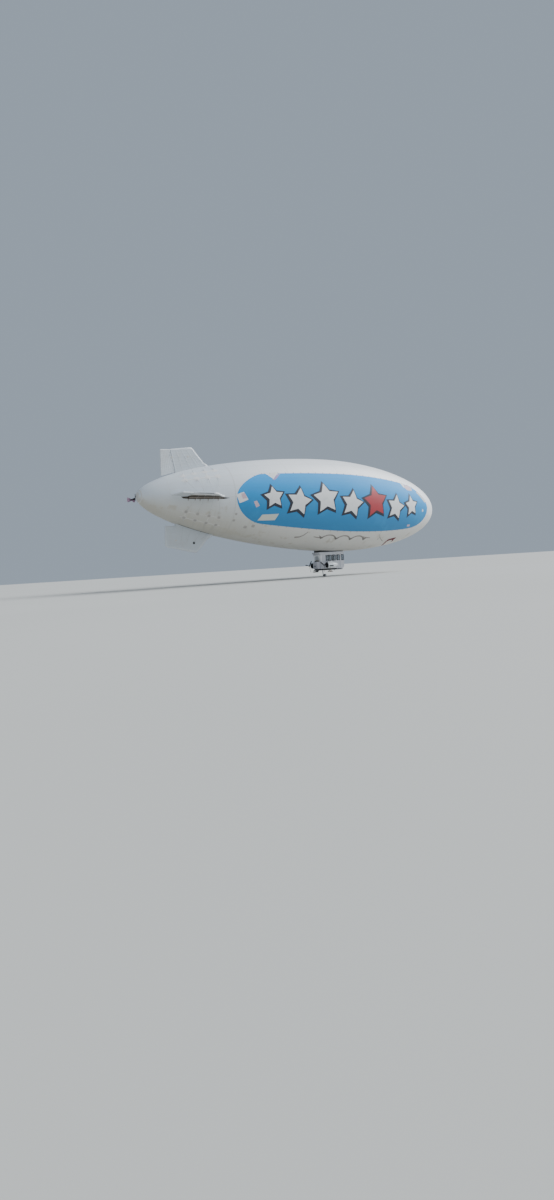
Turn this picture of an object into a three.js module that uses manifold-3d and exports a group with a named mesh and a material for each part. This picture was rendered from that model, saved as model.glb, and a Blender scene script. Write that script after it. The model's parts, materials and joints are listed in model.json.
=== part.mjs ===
// A small two-engine non-rigid airship, 39 m class, standing on its single castoring wheel.
// Millimetres, +Z up, +X to the nose, +Y to port. The origin is the centre of buoyancy, on the hull's axis.
// The hull with its fins rides 2.6 degrees nose-down, and the gondola below it hangs level.

import * as THREE from 'three';
import { mergeVertices } from 'three/addons/utils/BufferGeometryUtils.js';
import Module from 'manifold-3d';

const wasm = await Module();
wasm.setup();

const DEGREE = Math.PI / 180;
const FIT_GAP = 0.3;            // gap between pieces that rest on each other
const REACH = 60000;            // longer than anything here, for cutting boxes

// Hull, measured along its own axis from the centre of buoyancy
const HULL = {
  pitch: 2.6 * DEGREE,          // nose down
  nose: 17600,
  stern: -20800,
  widest: 1880,                 // station of the greatest radius
  radius: 5030,
  tailPower: 1.63,              // the tail's radius is R (1 - u^tailPower)^tailRoot
  tailRoot: 0.56,
  wall: 10,
  noseRing: 17530,              // the skin ends at these two rings
  sternRing: -20700,
  dishRim: 17485,               // and its end caps reach over it as far as these stations
  capRim: -20640,
  sides: 48,
  noseSteps: 9,
  tailSteps: 11,
};

// Fin planform: stations along the hull's axis, and distances from that axis
const FIN = {
  rootFront: -12850,
  frontTip: -14760,
  frontTipRadius: 5130,
  frontCorner: 420,             // how far the rounded front corner reaches
  rearTipRadius: 4740,
  thickness: 150,
  edgeTaper: 110,
  rootDepth: 1200,              // buried below the skin before the hull is cut out of the root
};
const HINGE = {
  lowX: -16720,
  lowRadius: 2450,
  highX: -17200,
  highRadius: 4720,
  finGap: 60,                   // from the hinge axis forward to the fin's edge
  lead: 48,                     // from the axis forward to the moving surface's edge
  pin: 12,
  bore: 13,
  brackets: [0.14, 0.5, 0.86],  // places along the hinge, as parts of its length
};
const SURFACE = { tipX: -18200, tipRadius: 4640, heelX: -18170, heelRadius: 2080, thickness: 96 };
const LOWER_FIN = {             // corners as [station, distance from the axis]
  edgeEnd: [-14330, 5080],
  corner: [-14530, 5305],
  tipFront: [-14920, 5240],
  tipRear: [-17940, 4720],
  chamfer: 200,
  notchFront: -16750,
  notchRadius: 2700,
};
const STAY = {
  radius: 9,
  sides: 6,
  fore: { finX: -14700, finRadius: 4150, hullX: -14400 },
  aft: { finX: -16200, finRadius: 4050, hullX: -16600 },
  hullAngle: 37 * DEGREE,       // from the fin round to its stays' feet
  tapeWidth: 120,
  tapeThickness: 6,
};

// Gondola, in its own frame: x forward from its rear wall, z up from its floor pan
const GONDOLA = {
  x: 150,
  z: -7120,
  length: 3350,
  halfWidth: 650,
  height: 1930,
  wall: 25,
  floor: 60,
  sill: 945,
  header: 1600,
  frontCorner: 120,
  rearCorner: 110,
  keelArc: 520,                 // rounding of the lower front, seen from the side
  overhang: 200,                // of the roof, behind the rear wall
  rearSplit: 150,               // where the side panels meet the rear and front ones
  frontSplit: 2820,
};
const DOOR = {
  rear: 2170,
  front: 2760,
  bottom: 150,
  top: 1760,
  gap: 6,
  hingeOut: 20,                 // from the side panel's face out to the hinge axis
  lowHinge: 420,
  highHinge: 1480,
};
const WINDOWS = [               // rear and front edge of each side pane
  { rear: 720, front: 860 },
  { rear: 920, front: 1530 },
  { rear: 1590, front: 2120 },
];
const DOOR_WINDOW = { rear: 2240, front: 2690 };
const CORNER_POST = { rear: 3270, out: 560 };   // ends of the side pane and of the windscreen at the front corner
const GLASS = 6;

const ENGINE = {
  x: 440,                       // rear lip of the nacelle
  y: 1350,
  z: -6627,
  length: 1400,
  radius: 350,
  mouth: 300,
  wall: 8,
  block: { length: 560, width: 420, height: 380, rear: 330 },
  strutRadius: 28,
  struts: [430, 800],           // places of the two outrigger tubes along the nacelle
};
const PROPELLER = { radius: 750, hub: 72, depth: 110, plane: -390, shaft: 25, blades: 3, chord: 120 };
const EXHAUST = {               // below the engine, in the nacelle's frame
  pipeX: 480,
  pipeRadius: 26,
  z: -690,
  muffler: { rear: 140, front: 720, radius: 66 },
  tailRear: 40,
  tailRadius: 24,
};

const GROUND = -7880;
const WHEEL = { x: 1080, radius: 150, width: 90, track: 170, axle: 12, hub: 78 };
const LEG = { x: 860, radius: 42, foot: -7470 };

const paint = {
  skin: { color: 0xd9dad6, roughness: 0.55, metalness: 0 },
  fin: { color: 0xc9cdd0, roughness: 0.6, metalness: 0 },
  shell: { color: 0xe4e6ea, roughness: 0.4, metalness: 0 },
  dark: { color: 0x2b2b30, roughness: 0.6, metalness: 0.1 },
  metal: { color: 0x8e9296, roughness: 0.4, metalness: 0.8 },
  glass: { color: 0x6f7f86, roughness: 0.1, metalness: 0 },
  rubber: { color: 0x1c1c1e, roughness: 0.85, metalness: 0 },
  seat: { color: 0x3a4350, roughness: 0.9, metalness: 0 },
  cloth: { color: 0x8a5f86, roughness: 0.9, metalness: 0 },
  wire: { color: 0x6e7275, roughness: 0.5, metalness: 0.6 },
};

/** A closed solid of a three.js geometry: bare positions, shared corners, faces turned outwards. */
function solid(geometry) {
  const bare = new THREE.BufferGeometry();
  bare.setAttribute('position', geometry.getAttribute('position').clone());
  if (geometry.index) bare.setIndex(geometry.index.clone());
  const merged = mergeVertices(bare, 1e-3);
  const p = merged.getAttribute('position').array;
  const index = merged.index.array;
  const corners = [];
  let volume = 0;
  for (let i = 0; i < index.length; i += 3) {
    const [a, b, c] = [index[i], index[i + 1], index[i + 2]];
    if (a === b || b === c || c === a) continue;
    corners.push(a, b, c);
    const [ax, ay, az] = p.slice(3 * a, 3 * a + 3);
    const [bx, by, bz] = p.slice(3 * b, 3 * b + 3);
    const [cx, cy, cz] = p.slice(3 * c, 3 * c + 3);
    volume += ax * (by * cz - bz * cy) + ay * (bz * cx - bx * cz) + az * (bx * cy - by * cx);
  }
  if (volume < 0) {
    for (let i = 0; i < corners.length; i += 3) [corners[i], corners[i + 1]] = [corners[i + 1], corners[i]];
  }
  return new wasm.Manifold(new wasm.Mesh({
    numProp: 3,
    vertProperties: new Float32Array(p),
    triVerts: new Uint32Array(corners),
  }));
}

/** A named mesh of a solid. */
function piece(name, shape, finish) {
  const mesh = shape.getMesh();
  const geometry = new THREE.BufferGeometry();
  geometry.setAttribute('position', new THREE.BufferAttribute(new Float32Array(mesh.vertProperties), 3));
  geometry.setIndex(new THREE.BufferAttribute(new Uint32Array(mesh.triVerts), 1));
  geometry.computeVertexNormals();
  const result = new THREE.Mesh(geometry, new THREE.MeshStandardMaterial(finish));
  result.name = name;
  return result;
}

const join = (...shapes) => shapes.reduce((whole, next) => whole.add(next));

/** A box between two corners. */
function boxGeometry([x0, y0, z0], [x1, y1, z1]) {
  return new THREE.BoxGeometry(x1 - x0, y1 - y0, z1 - z0).translate((x0 + x1) / 2, (y0 + y1) / 2, (z0 + z1) / 2);
}
const box = (low, high) => solid(boxGeometry(low, high));

/** A rod between two points. */
function rod(from, to, radius, sides = 12) {
  const a = new THREE.Vector3(...from);
  const b = new THREE.Vector3(...to);
  const geometry = new THREE.CylinderGeometry(radius, radius, a.distanceTo(b), sides);
  const turn = new THREE.Quaternion().setFromUnitVectors(
    new THREE.Vector3(0, 1, 0),
    b.clone().sub(a).normalize(),
  );
  return solid(geometry.applyQuaternion(turn).translate(...a.add(b).multiplyScalar(0.5).toArray()));
}

/** A plate with the outline [x, z], centred on y = 0, its edges tapered by a chamfer. */
function plate(outline, thickness, taper = 0) {
  const shape = new THREE.Shape(outline.map(([x, z]) => new THREE.Vector2(x, z)));
  const bevel = taper > 0 ? thickness * 0.32 : 0;
  const geometry = new THREE.ExtrudeGeometry(shape, {
    depth: thickness - 2 * bevel,
    bevelEnabled: taper > 0,
    bevelThickness: bevel,
    bevelSize: taper,
    bevelOffset: -taper,
    bevelSegments: 1,
    curveSegments: 6,
  });
  return solid(geometry.translate(0, 0, -(thickness - 2 * bevel) / 2).rotateX(Math.PI / 2));
}

/** A solid of revolution about the X axis, from a profile of [x, radius]. */
function turned(profile, sides) {
  const points = profile.map(([x, r]) => new THREE.Vector2(r, x));
  return solid(new THREE.LatheGeometry(points, sides).rotateZ(-Math.PI / 2));
}

// Hull: half an ellipse ahead of its widest station, a tapering tail behind it

function hullRadius(x) {
  if (x >= HULL.widest) {
    const u = (x - HULL.widest) / (HULL.nose - HULL.widest);
    return HULL.radius * Math.sqrt(Math.max(0, 1 - u * u));
  }
  const u = (HULL.widest - x) / (HULL.widest - HULL.stern);
  return HULL.radius * Math.max(0, 1 - u ** HULL.tailPower) ** HULL.tailRoot;
}

/** Stations from stern to nose, closer together towards both ends. */
function hullStations(from, to) {
  const tailEnd = Math.asin((HULL.widest - from) / (HULL.widest - HULL.stern));
  const noseEnd = Math.asin((to - HULL.widest) / (HULL.nose - HULL.widest));
  const tail = Array.from({ length: HULL.tailSteps }, (_, i) => {
    const angle = tailEnd * (1 - i / HULL.tailSteps);
    return HULL.widest - (HULL.widest - HULL.stern) * Math.sin(angle);
  });
  const nose = Array.from({ length: HULL.noseSteps + 1 }, (_, i) => {
    const angle = noseEnd * (i / HULL.noseSteps);
    return HULL.widest + (HULL.nose - HULL.widest) * Math.sin(angle);
  });
  const rims = [HULL.capRim, HULL.dishRim];
  return [...tail, ...nose, ...rims].sort((a, b) => a - b);
}

const stations = hullStations(HULL.sternRing, HULL.noseRing);
const skinProfile = stations.map((x) => [x, hullRadius(x)]);

/** The profile moved out along its normals by a distance, or in where the distance is negative. */
function offsetProfile(profile, distance) {
  return profile.map(([x, r], i) => {
    const [x0, r0] = profile[Math.max(0, i - 1)];
    const [x1, r1] = profile[Math.min(profile.length - 1, i + 1)];
    const length = Math.hypot(x1 - x0, r1 - r0);
    return [x - (distance * (r1 - r0)) / length, r + (distance * (x1 - x0)) / length];
  });
}

/** A closed band over the profile, between two offsets from the skin's outside. */
function skinBand(profile, low, high) {
  const inner = offsetProfile(profile, low);
  const outer = offsetProfile(profile, high);
  return turned([...outer, ...inner.reverse(), outer[0]], HULL.sides);
}

/** The whole hull as a solid, a little larger than the skin, for cutting what rests on it. */
function hullCutter() {
  const grown = offsetProfile(skinProfile, FIT_GAP);
  const points = [[grown[0][0], 0], ...grown, [grown[grown.length - 1][0], 0]].map(([x, r]) => new THREE.Vector2(r, x));
  return new THREE.LatheGeometry(points, HULL.sides).rotateZ(-Math.PI / 2);
}
const hullInside = solid(hullCutter());

/** A dished cap that closes one end of the skin and overlaps it as far as a station. */
function endCap(overlap, tip, thickness) {
  const forward = tip > 0;
  const over = skinProfile.filter(([x]) => (forward ? x >= overlap : x <= overlap));
  const outer = offsetProfile(over, FIT_GAP + thickness);
  const inner = offsetProfile(over, FIT_GAP);
  const tipOuter = [tip + Math.sign(tip) * thickness, 0];
  const tipInner = [tip, 0];
  const loop = forward ? [tipInner, ...inner.reverse(), ...outer, tipOuter] : [tipOuter, ...outer, ...inner.reverse(), tipInner];
  return turned(loop, HULL.sides);
}

function buildHull() {
  const hull = new THREE.Group();
  hull.rotation.y = HULL.pitch;
  hull.add(piece('envelope', skinBand(skinProfile, -HULL.wall, 0), paint.skin));

  const dish = endCap(HULL.dishRim, HULL.nose, 14);
  hull.add(piece('nose_dish', dish, paint.metal));
  const spindleFoot = HULL.nose + 14 + FIT_GAP;
  const spindle = turned([
    [spindleFoot, 0], [spindleFoot, 150], [spindleFoot + 24, 150], [spindleFoot + 30, 62],
    [spindleFoot + 190, 62], [spindleFoot + 196, 80], [spindleFoot + 226, 80], [spindleFoot + 226, 0],
  ], 24);
  hull.add(piece('mooring_spindle', spindle, paint.metal));

  const cap = endCap(HULL.capRim, HULL.stern, 10);
  hull.add(piece('stern_cap', cap, paint.skin));
  const postX = HULL.stern - 80;
  const post = join(
    rod([HULL.stern - 10 - FIT_GAP, 0, 0], [postX, 0, 0], 28),
    rod([postX, 0, -410], [postX, 0, 230], 30),
  );
  hull.add(piece('stern_post', post, paint.dark));
  const streamerX = postX - 30 - FIT_GAP;
  const streamer = plate([
    [streamerX, -390], [streamerX - 60, -610], [streamerX - 400, -430], [streamerX - 750, -570],
    [streamerX - 800, -90], [streamerX - 400, -260], [streamerX, -240],
  ], 30);
  hull.add(piece('stern_streamer', streamer, paint.cloth));
  return hull;
}

// Fins: each is built standing up, then its group is turned about the hull's axis

const hingeAxis = new THREE.Vector2(HINGE.highX - HINGE.lowX, HINGE.highRadius - HINGE.lowRadius);
const hingeLength = hingeAxis.length();
const hingeRake = Math.atan2(-hingeAxis.x, hingeAxis.y);

/** A point of the fin's plane: so far along the hinge line, and so far ahead of it. */
function byHinge(along, ahead) {
  const up = hingeAxis.clone().normalize();
  return [HINGE.lowX + up.x * along + up.y * ahead, HINGE.lowRadius + up.y * along - up.x * ahead];
}

/** A geometry made about the hinge's own foot, laid along the raked hinge line. */
function onHinge(geometry) {
  return solid(geometry.rotateY(-hingeRake).translate(HINGE.lowX, 0, HINGE.lowRadius));
}

/** The outline from the buried root, up the leading edge and round its corner, to the rear of the tip. */
function finFront() {
  const rootRadius = hullRadius(FIN.rootFront) - FIN.rootDepth;
  const corner = new THREE.QuadraticBezierCurve(
    new THREE.Vector2(FIN.frontTip + 0.58 * FIN.frontCorner, FIN.frontTipRadius - 0.9 * FIN.frontCorner),
    new THREE.Vector2(FIN.frontTip + 0.1 * FIN.frontCorner, FIN.frontTipRadius),
    new THREE.Vector2(FIN.frontTip - FIN.frontCorner, FIN.frontTipRadius - 0.17 * FIN.frontCorner),
  );
  const rootFoot = [FIN.rootFront + 0.55 * FIN.rootDepth, rootRadius];
  return [rootFoot, ...corner.getPoints(4).map((v) => [v.x, v.y])];
}

/** A fin with a moving surface: its rear edge runs along the hinge and carries the hinge's brackets and pins. */
function hingedFin() {
  const blank = plate([
    ...finFront(), [HINGE.highX - 260, FIN.rearTipRadius - 40], [HINGE.lowX - 260, hullRadius(HINGE.lowX) - FIN.rootDepth],
  ], FIN.thickness, FIN.edgeTaper);
  const behind = onHinge(boxGeometry([-REACH, -REACH, -REACH], [HINGE.finGap, REACH, REACH]));
  let fin = blank.subtract(hullInside).subtract(behind);
  for (const part of HINGE.brackets) {
    const at = part * hingeLength;
    const bracket = onHinge(boxGeometry([-20, -18, at - 50], [HINGE.finGap + 12, 18, at + 50]));
    const pin = new THREE.CylinderGeometry(HINGE.pin, HINGE.pin, 220, 12).rotateX(Math.PI / 2).translate(0, 0, at);
    fin = fin.add(bracket).add(onHinge(pin));
  }
  return fin;
}

/** The moving surface behind the hinge, notched at each bracket and bored for its pin. */
function movingSurface() {
  const blank = plate([
    byHinge(70, HINGE.lead), byHinge(hingeLength - 10, HINGE.lead),
    [SURFACE.tipX, SURFACE.tipRadius], [SURFACE.heelX, SURFACE.heelRadius],
  ], SURFACE.thickness, 30);
  let surface = blank;
  for (const part of HINGE.brackets) {
    const at = part * hingeLength;
    const notch = onHinge(boxGeometry([-42, -REACH, at - 70], [REACH, REACH, at + 70]));
    const bore = new THREE.CylinderGeometry(HINGE.bore, HINGE.bore, 232, 12).rotateX(Math.PI / 2).translate(0, 0, at);
    surface = surface.subtract(notch.intersect(onHinge(boxGeometry([-50, -200, 0], [200, 200, hingeLength]))));
    surface = surface.subtract(onHinge(bore));
  }
  return surface;
}

/** The lower fin: one fixed panel, deeper and longer in the root than the others, its rear free of the hull. */
function lowerFin() {
  const { edgeEnd, corner, tipFront, tipRear, chamfer, notchFront, notchRadius } = LOWER_FIN;
  const rootRadius = hullRadius(FIN.rootFront);
  const slope = (edgeEnd[0] - FIN.rootFront) / (edgeEnd[1] - rootRadius);
  const rounding = new THREE.QuadraticBezierCurve(...[edgeEnd, corner, tipFront].map((v) => new THREE.Vector2(...v)));
  const rise = (tipFront[1] - tipRear[1]) / (tipFront[0] - tipRear[0]);
  const [rearX, rearRadius] = tipRear;
  const blank = plate([
    [FIN.rootFront - slope * FIN.rootDepth, rootRadius - FIN.rootDepth],
    ...rounding.getPoints(4).map((v) => [v.x, v.y]),
    [rearX + chamfer, rearRadius + rise * chamfer], [rearX, rearRadius - 0.8 * chamfer],
    [rearX + 40, notchRadius + 90], [rearX + 120, notchRadius], [notchFront, notchRadius],
    [notchFront, hullRadius(notchFront) - FIN.rootDepth],
  ], FIN.thickness, 60);
  return blank.subtract(hullInside);
}

const quarters = [
  { side: 'upper', turn: 0, surface: 'rudder' },
  { side: 'starboard', turn: 90, surface: 'elevator_starboard' },
  { side: 'lower', turn: 180, surface: null },
  { side: 'port', turn: -90, surface: 'elevator_port' },
];

function buildFins() {
  const tail = new THREE.Group();
  tail.rotation.y = HULL.pitch;
  for (const { side, turn, surface } of quarters) {
    const group = new THREE.Group();
    group.rotation.x = turn * DEGREE;
    group.add(piece(`fin_${side}`, surface ? hingedFin() : lowerFin(), paint.fin));
    if (surface) group.add(piece(surface, movingSurface(), paint.fin));
    tail.add(group);
  }
  return tail;
}

/** A point on the hull's skin, at an angle from straight up towards starboard, and lifted off it. */
function onSkin(x, angle, lift) {
  const r = hullRadius(x) + lift;
  return [x, -r * Math.sin(angle), r * Math.cos(angle)];
}

/** A block between two stations and two angles round the hull, from the axis out past the skin. */
function sector(x0, x1, from, to) {
  const far = 2 * HULL.radius;
  const shape = new THREE.Shape();
  shape.moveTo(0, 0);
  shape.lineTo(-far * Math.sin(from), far * Math.cos(from));
  shape.lineTo(-far * Math.sin(to), far * Math.cos(to));
  shape.closePath();
  // the shape's x and y are the hull's y and z, and its depth runs along the hull's x
  const lay = new THREE.Matrix4().makeBasis(
    new THREE.Vector3(0, 1, 0), new THREE.Vector3(0, 0, 1), new THREE.Vector3(1, 0, 0),
  );
  const wedge = new THREE.ExtrudeGeometry(shape, { depth: x1 - x0, bevelEnabled: false });
  return solid(wedge.applyMatrix4(lay).translate(x0, 0, 0));
}

/** The stays between an upright fin and the one a quarter turn to starboard: four wires and the tape at their feet. */
function stayQuarter() {
  const feet = [STAY.hullAngle, Math.PI / 2 - STAY.hullAngle];
  const face = FIN.thickness / 2 + FIT_GAP;
  const wires = [STAY.fore, STAY.aft].flatMap(({ finX, finRadius, hullX }) => [
    rod([finX, -face, finRadius], onSkin(hullX, feet[0], 2), STAY.radius, STAY.sides),
    rod([finX, -finRadius, face], onSkin(hullX, feet[1], 2), STAY.radius, STAY.sides),
  ]);
  const fins = join(
    box([-REACH, -face, 0], [REACH, 1000, REACH]),
    box([-REACH, -REACH, -1000], [REACH, 0, face]),
  );
  const half = STAY.tapeWidth / 2;
  const halfAngle = half / hullRadius(STAY.fore.hullX);
  const strips = [STAY.fore, STAY.aft].map(
    ({ hullX }) => sector(hullX - half, hullX + half, feet[0] - halfAngle, feet[1] + halfAngle),
  );
  strips.push(sector(STAY.aft.hullX, STAY.fore.hullX, Math.PI / 4 - halfAngle, Math.PI / 4 + halfAngle));
  const near = skinProfile.filter(([x]) => Math.abs(x - STAY.fore.hullX) < 4500);
  const sheath = skinBand(near, 2 * FIT_GAP, 2 * FIT_GAP + STAY.tapeThickness);
  return join(...wires).subtract(hullInside).subtract(fins).add(sheath.intersect(join(...strips)));
}

function buildStays() {
  const stays = new THREE.Group();
  stays.rotation.y = HULL.pitch;
  const names = ['stays_upper_starboard', 'stays_lower_starboard', 'stays_lower_port', 'stays_upper_port'];
  names.forEach((name, i) => {
    const stay = piece(name, stayQuarter(), paint.wire);
    stay.rotation.x = (i * Math.PI) / 2;
    stays.add(stay);
  });
  return stays;
}

// Gondola: a rounded cabin shell, split where its panels meet

/** The cabin's plan outline, moved in from its outside by a distance. */
function planOutline(inset, length = GONDOLA.length) {
  const w = GONDOLA.halfWidth - inset;
  const rear = inset;
  const front = length - inset;
  const rearCorner = Math.max(10, GONDOLA.rearCorner - inset);
  const frontCorner = Math.max(10, GONDOLA.frontCorner - inset);
  const shape = new THREE.Shape();
  shape.moveTo(rear + rearCorner, -w);
  shape.lineTo(front - frontCorner, -w);
  shape.absarc(front - frontCorner, -w + frontCorner, frontCorner, -Math.PI / 2, 0);
  shape.absarc(front - frontCorner, w - frontCorner, frontCorner, 0, Math.PI / 2);
  shape.lineTo(rear + rearCorner, w);
  shape.absarc(rear + rearCorner, w - rearCorner, rearCorner, Math.PI / 2, Math.PI);
  shape.absarc(rear + rearCorner, -w + rearCorner, rearCorner, Math.PI, Math.PI * 1.5);
  return shape;
}

function prism(shape, low, high) {
  return solid(new THREE.ExtrudeGeometry(shape, {
    depth: high - low, bevelEnabled: false, curveSegments: 6,
  }).translate(0, 0, low));
}

/** The cabin's side profile, whose lower front is an arc, as a body wider than the cabin. */
function sideProfile(inset, floor) {
  const { length, height, keelArc } = GONDOLA;
  const r = keelArc - inset;
  const shape = new THREE.Shape();
  shape.moveTo(inset, floor);
  shape.lineTo(length - keelArc, floor);
  shape.absarc(length - keelArc, floor + r, r, -Math.PI / 2, 0);
  shape.lineTo(length - inset, height - inset);
  shape.lineTo(inset, height - inset);
  const geometry = new THREE.ExtrudeGeometry(shape, { depth: 4 * GONDOLA.halfWidth, bevelEnabled: false, curveSegments: 6 });
  return solid(geometry.translate(0, 0, -2 * GONDOLA.halfWidth).rotateX(Math.PI / 2));
}

/** The cabin's body moved in by a distance, its floor at a height. */
function cabinBody(inset, floor) {
  return prism(planOutline(inset), -10, GONDOLA.height - inset).intersect(sideProfile(inset, floor));
}

function buildCabin() {
  const g = GONDOLA;
  const cabin = new THREE.Group();
  cabin.position.set(g.x, 0, g.z);
  const shell = cabinBody(0, 0).subtract(cabinBody(g.wall, g.floor));
  const half = FIT_GAP / 2;
  const part = (low, high) => shell.intersect(box(low.map((v) => v + half), high.map((v) => v - half)));
  const wide = 2 * g.halfWidth;
  const doorHole = box([DOOR.rear, -wide, DOOR.bottom], [DOOR.front, -g.halfWidth + 3 * g.wall, DOOR.top]);
  const doorLeaf = box(
    [DOOR.rear + DOOR.gap, -wide, DOOR.bottom + DOOR.gap],
    [DOOR.front - DOOR.gap, -g.halfWidth + 3 * g.wall, DOOR.top - DOOR.gap],
  );
  const opening = (rear, front, side) => box(
    [rear, side * g.halfWidth - 80, g.sill + 35],
    [front, side * g.halfWidth + 80, g.header - 25],
  );

  const tub = part([-1000, -wide, -1000], [6000, wide, g.sill]).subtract(doorHole).add(doorBracket(DOOR.lowHinge));
  const overhang = plate([
    [g.rearCorner, g.header + 10], [0, g.header + 10], [-g.overhang, g.height], [g.rearCorner, g.height],
  ], 2 * (g.halfWidth - 10)).subtract(cabinBody(g.wall, g.floor));
  const roof = part([-1000, -wide, g.header], [6000, wide, 3000]).subtract(doorHole).add(overhang);
  let port = part([g.rearSplit, 0, g.sill], [g.frontSplit, wide, g.header]);
  let starboard = part([g.rearSplit, -wide, g.sill], [g.frontSplit, 0, g.header]).subtract(doorHole);
  const door = shell.intersect(doorLeaf);
  for (const { rear, front } of [...WINDOWS, DOOR_WINDOW]) port = port.subtract(opening(rear, front, 1));
  for (const { rear, front } of WINDOWS) starboard = starboard.subtract(opening(rear, front, -1));
  const rearPanel = part([-1000, -wide, g.sill], [g.rearSplit, wide, g.header])
    .subtract(box([-100, -330, g.sill + 110], [100, 330, g.header - 60]));
  const pane = { low: g.sill + 30, high: g.header - 25 };
  let frontPanel = part([g.frontSplit, -wide, g.sill], [6000, wide, g.header])
    .subtract(box([g.frontSplit + 50, -wide, pane.low], [CORNER_POST.rear, wide, pane.high]));
  for (const [low, high] of [[-CORNER_POST.out, -25], [25, CORNER_POST.out]]) {
    frontPanel = frontPanel.subtract(box([g.length - 80, low, pane.low], [6000, high, pane.high]));
  }
  cabin.add(piece('cabin_tub', tub, paint.shell));
  cabin.add(piece('cabin_roof', roof, paint.shell));
  cabin.add(piece('cabin_side_port', port, paint.shell));

  // the starboard panel is in two where the door parts it
  const beforeDoor = starboard.intersect(box([-1000, -wide, 0], [DOOR.rear + 1, wide, 3000]));
  const afterDoor = starboard.intersect(box([DOOR.front - 1, -wide, 0], [6000, wide, 3000]));
  cabin.add(piece('cabin_side_starboard', beforeDoor, paint.shell));
  cabin.add(piece('door_post', afterDoor.add(doorBracket(DOOR.highHinge)), paint.shell));
  cabin.add(piece('cabin_rear', rearPanel, paint.shell));
  cabin.add(piece('cabin_front', frontPanel, paint.shell));
  const leaf = door.subtract(opening(DOOR_WINDOW.rear, DOOR_WINDOW.front, -1));
  cabin.add(piece('door', join(leaf, doorArm(DOOR.lowHinge), doorArm(DOOR.highHinge)), paint.shell));

  addGlazing(cabin);
  addInterior(cabin);
  return cabin;
}

const doorAxis = { x: DOOR.front + 14, y: -GONDOLA.halfWidth - DOOR.hingeOut };

/** The fixed half of a door hinge at a height: a block on the wall ahead of the door, with an upright pin. */
function doorBracket(z) {
  return join(
    box([doorAxis.x - 8, doorAxis.y - 8, z - 60], [doorAxis.x + 34, -GONDOLA.halfWidth + 2, z - 20]),
    rod([doorAxis.x, doorAxis.y, z - 40], [doorAxis.x, doorAxis.y, z + 20], 5),
  );
}

/** The door's half of a hinge: an arm with a bore over the pin. */
function doorArm(z) {
  return join(
    box([DOOR.front - 70, -GONDOLA.halfWidth - 12, z - 19.6], [DOOR.front - 10, -GONDOLA.halfWidth + 2, z + 20]),
    box([DOOR.front - 30, doorAxis.y - 9, z - 19.6], [doorAxis.x + 10, doorAxis.y + 9, z + 20]),
  ).subtract(rod([doorAxis.x, doorAxis.y, z - 60], [doorAxis.x, doorAxis.y, z + 60], 5.6));
}

function addGlazing(cabin) {
  const g = GONDOLA;
  const inside = g.halfWidth - g.wall - FIT_GAP;
  const pane = (rear, front, side) => {
    const [a, b] = [side * inside, side * (inside - GLASS)];
    return box([rear - 25, Math.min(a, b), g.sill + 15], [front + 25, Math.max(a, b), g.header - 8]);
  };
  const last = WINDOWS[WINDOWS.length - 1];
  cabin.add(piece('glass_port', pane(WINDOWS[0].rear, DOOR_WINDOW.front, 1), paint.glass));
  cabin.add(piece('glass_starboard', pane(WINDOWS[0].rear, last.front, -1), paint.glass));
  cabin.add(piece('glass_door', pane(DOOR_WINDOW.rear, DOOR_WINDOW.front, -1), paint.glass));
  cabin.add(piece('glass_rear', box(
    [g.wall + FIT_GAP, -350, g.sill + 90], [g.wall + FIT_GAP + GLASS, 350, g.header - 40],
  ), paint.glass));
  const ring = prism(planOutline(g.wall + FIT_GAP), g.sill + 10, g.header - 8)
    .subtract(prism(planOutline(g.wall + FIT_GAP + GLASS), 0, 3000));
  cabin.add(piece('windscreen', ring.intersect(box([g.frontSplit + 30, -2000, 0], [6000, 2000, 3000])), paint.glass));
}

/** A seat with the side outline [x, z], as wide as given, centred on a line. */
function seat(outline, width, y) {
  const shape = new THREE.Shape(outline.map(([x, z]) => new THREE.Vector2(x, z)));
  const geometry = new THREE.ExtrudeGeometry(shape, { depth: width, bevelEnabled: false });
  return solid(geometry.translate(0, 0, -width / 2).rotateX(Math.PI / 2).translate(0, y, GONDOLA.floor + FIT_GAP));
}

function addInterior(cabin) {
  const chair = [[0, 0], [420, 0], [420, 300], [470, 330], [470, 420], [90, 400], [-60, 900], [-150, 900], [-40, 330]];
  for (const [name, y] of [['seat_pilot', 290], ['seat_copilot', -290]]) {
    cabin.add(piece(name, seat(chair.map(([x, z]) => [x + 1950, z]), 440, y), paint.seat));
  }
  const bench = [[0, 0], [460, 0], [460, 400], [110, 390], [-10, 860], [-90, 860], [-40, 330]];
  cabin.add(piece('bench_rear', seat(bench.map(([x, z]) => [x + 700, z]), 1120, 0), paint.seat));
  const panel = [[0, 0], [300, 0], [300, 500], [120, 880], [60, 880], [-60, 620], [60, 560]];
  const inside = cabinBody(GONDOLA.wall + GLASS + 4, GONDOLA.floor + FIT_GAP);
  const console = seat(panel.map(([x, z]) => [x + 2720, z]), 620, 0).intersect(inside);
  cabin.add(piece('instrument_panel', console, paint.dark));
}

/** The dark collar that joins the cabin's roof to the hull's underside. */
function buildCollar() {
  const g = GONDOLA;
  const above = new THREE.Matrix4().makeRotationY(HULL.pitch).setPosition(-g.x, 0, -g.z);
  const ring = prism(planOutline(70), g.height + FIT_GAP, g.height + 700).subtract(prism(planOutline(130), 0, 4000));
  const collar = piece('roof_collar', ring.subtract(solid(hullCutter().applyMatrix4(above))), paint.dark);
  collar.position.set(g.x, 0, g.z);
  return collar;
}

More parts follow.
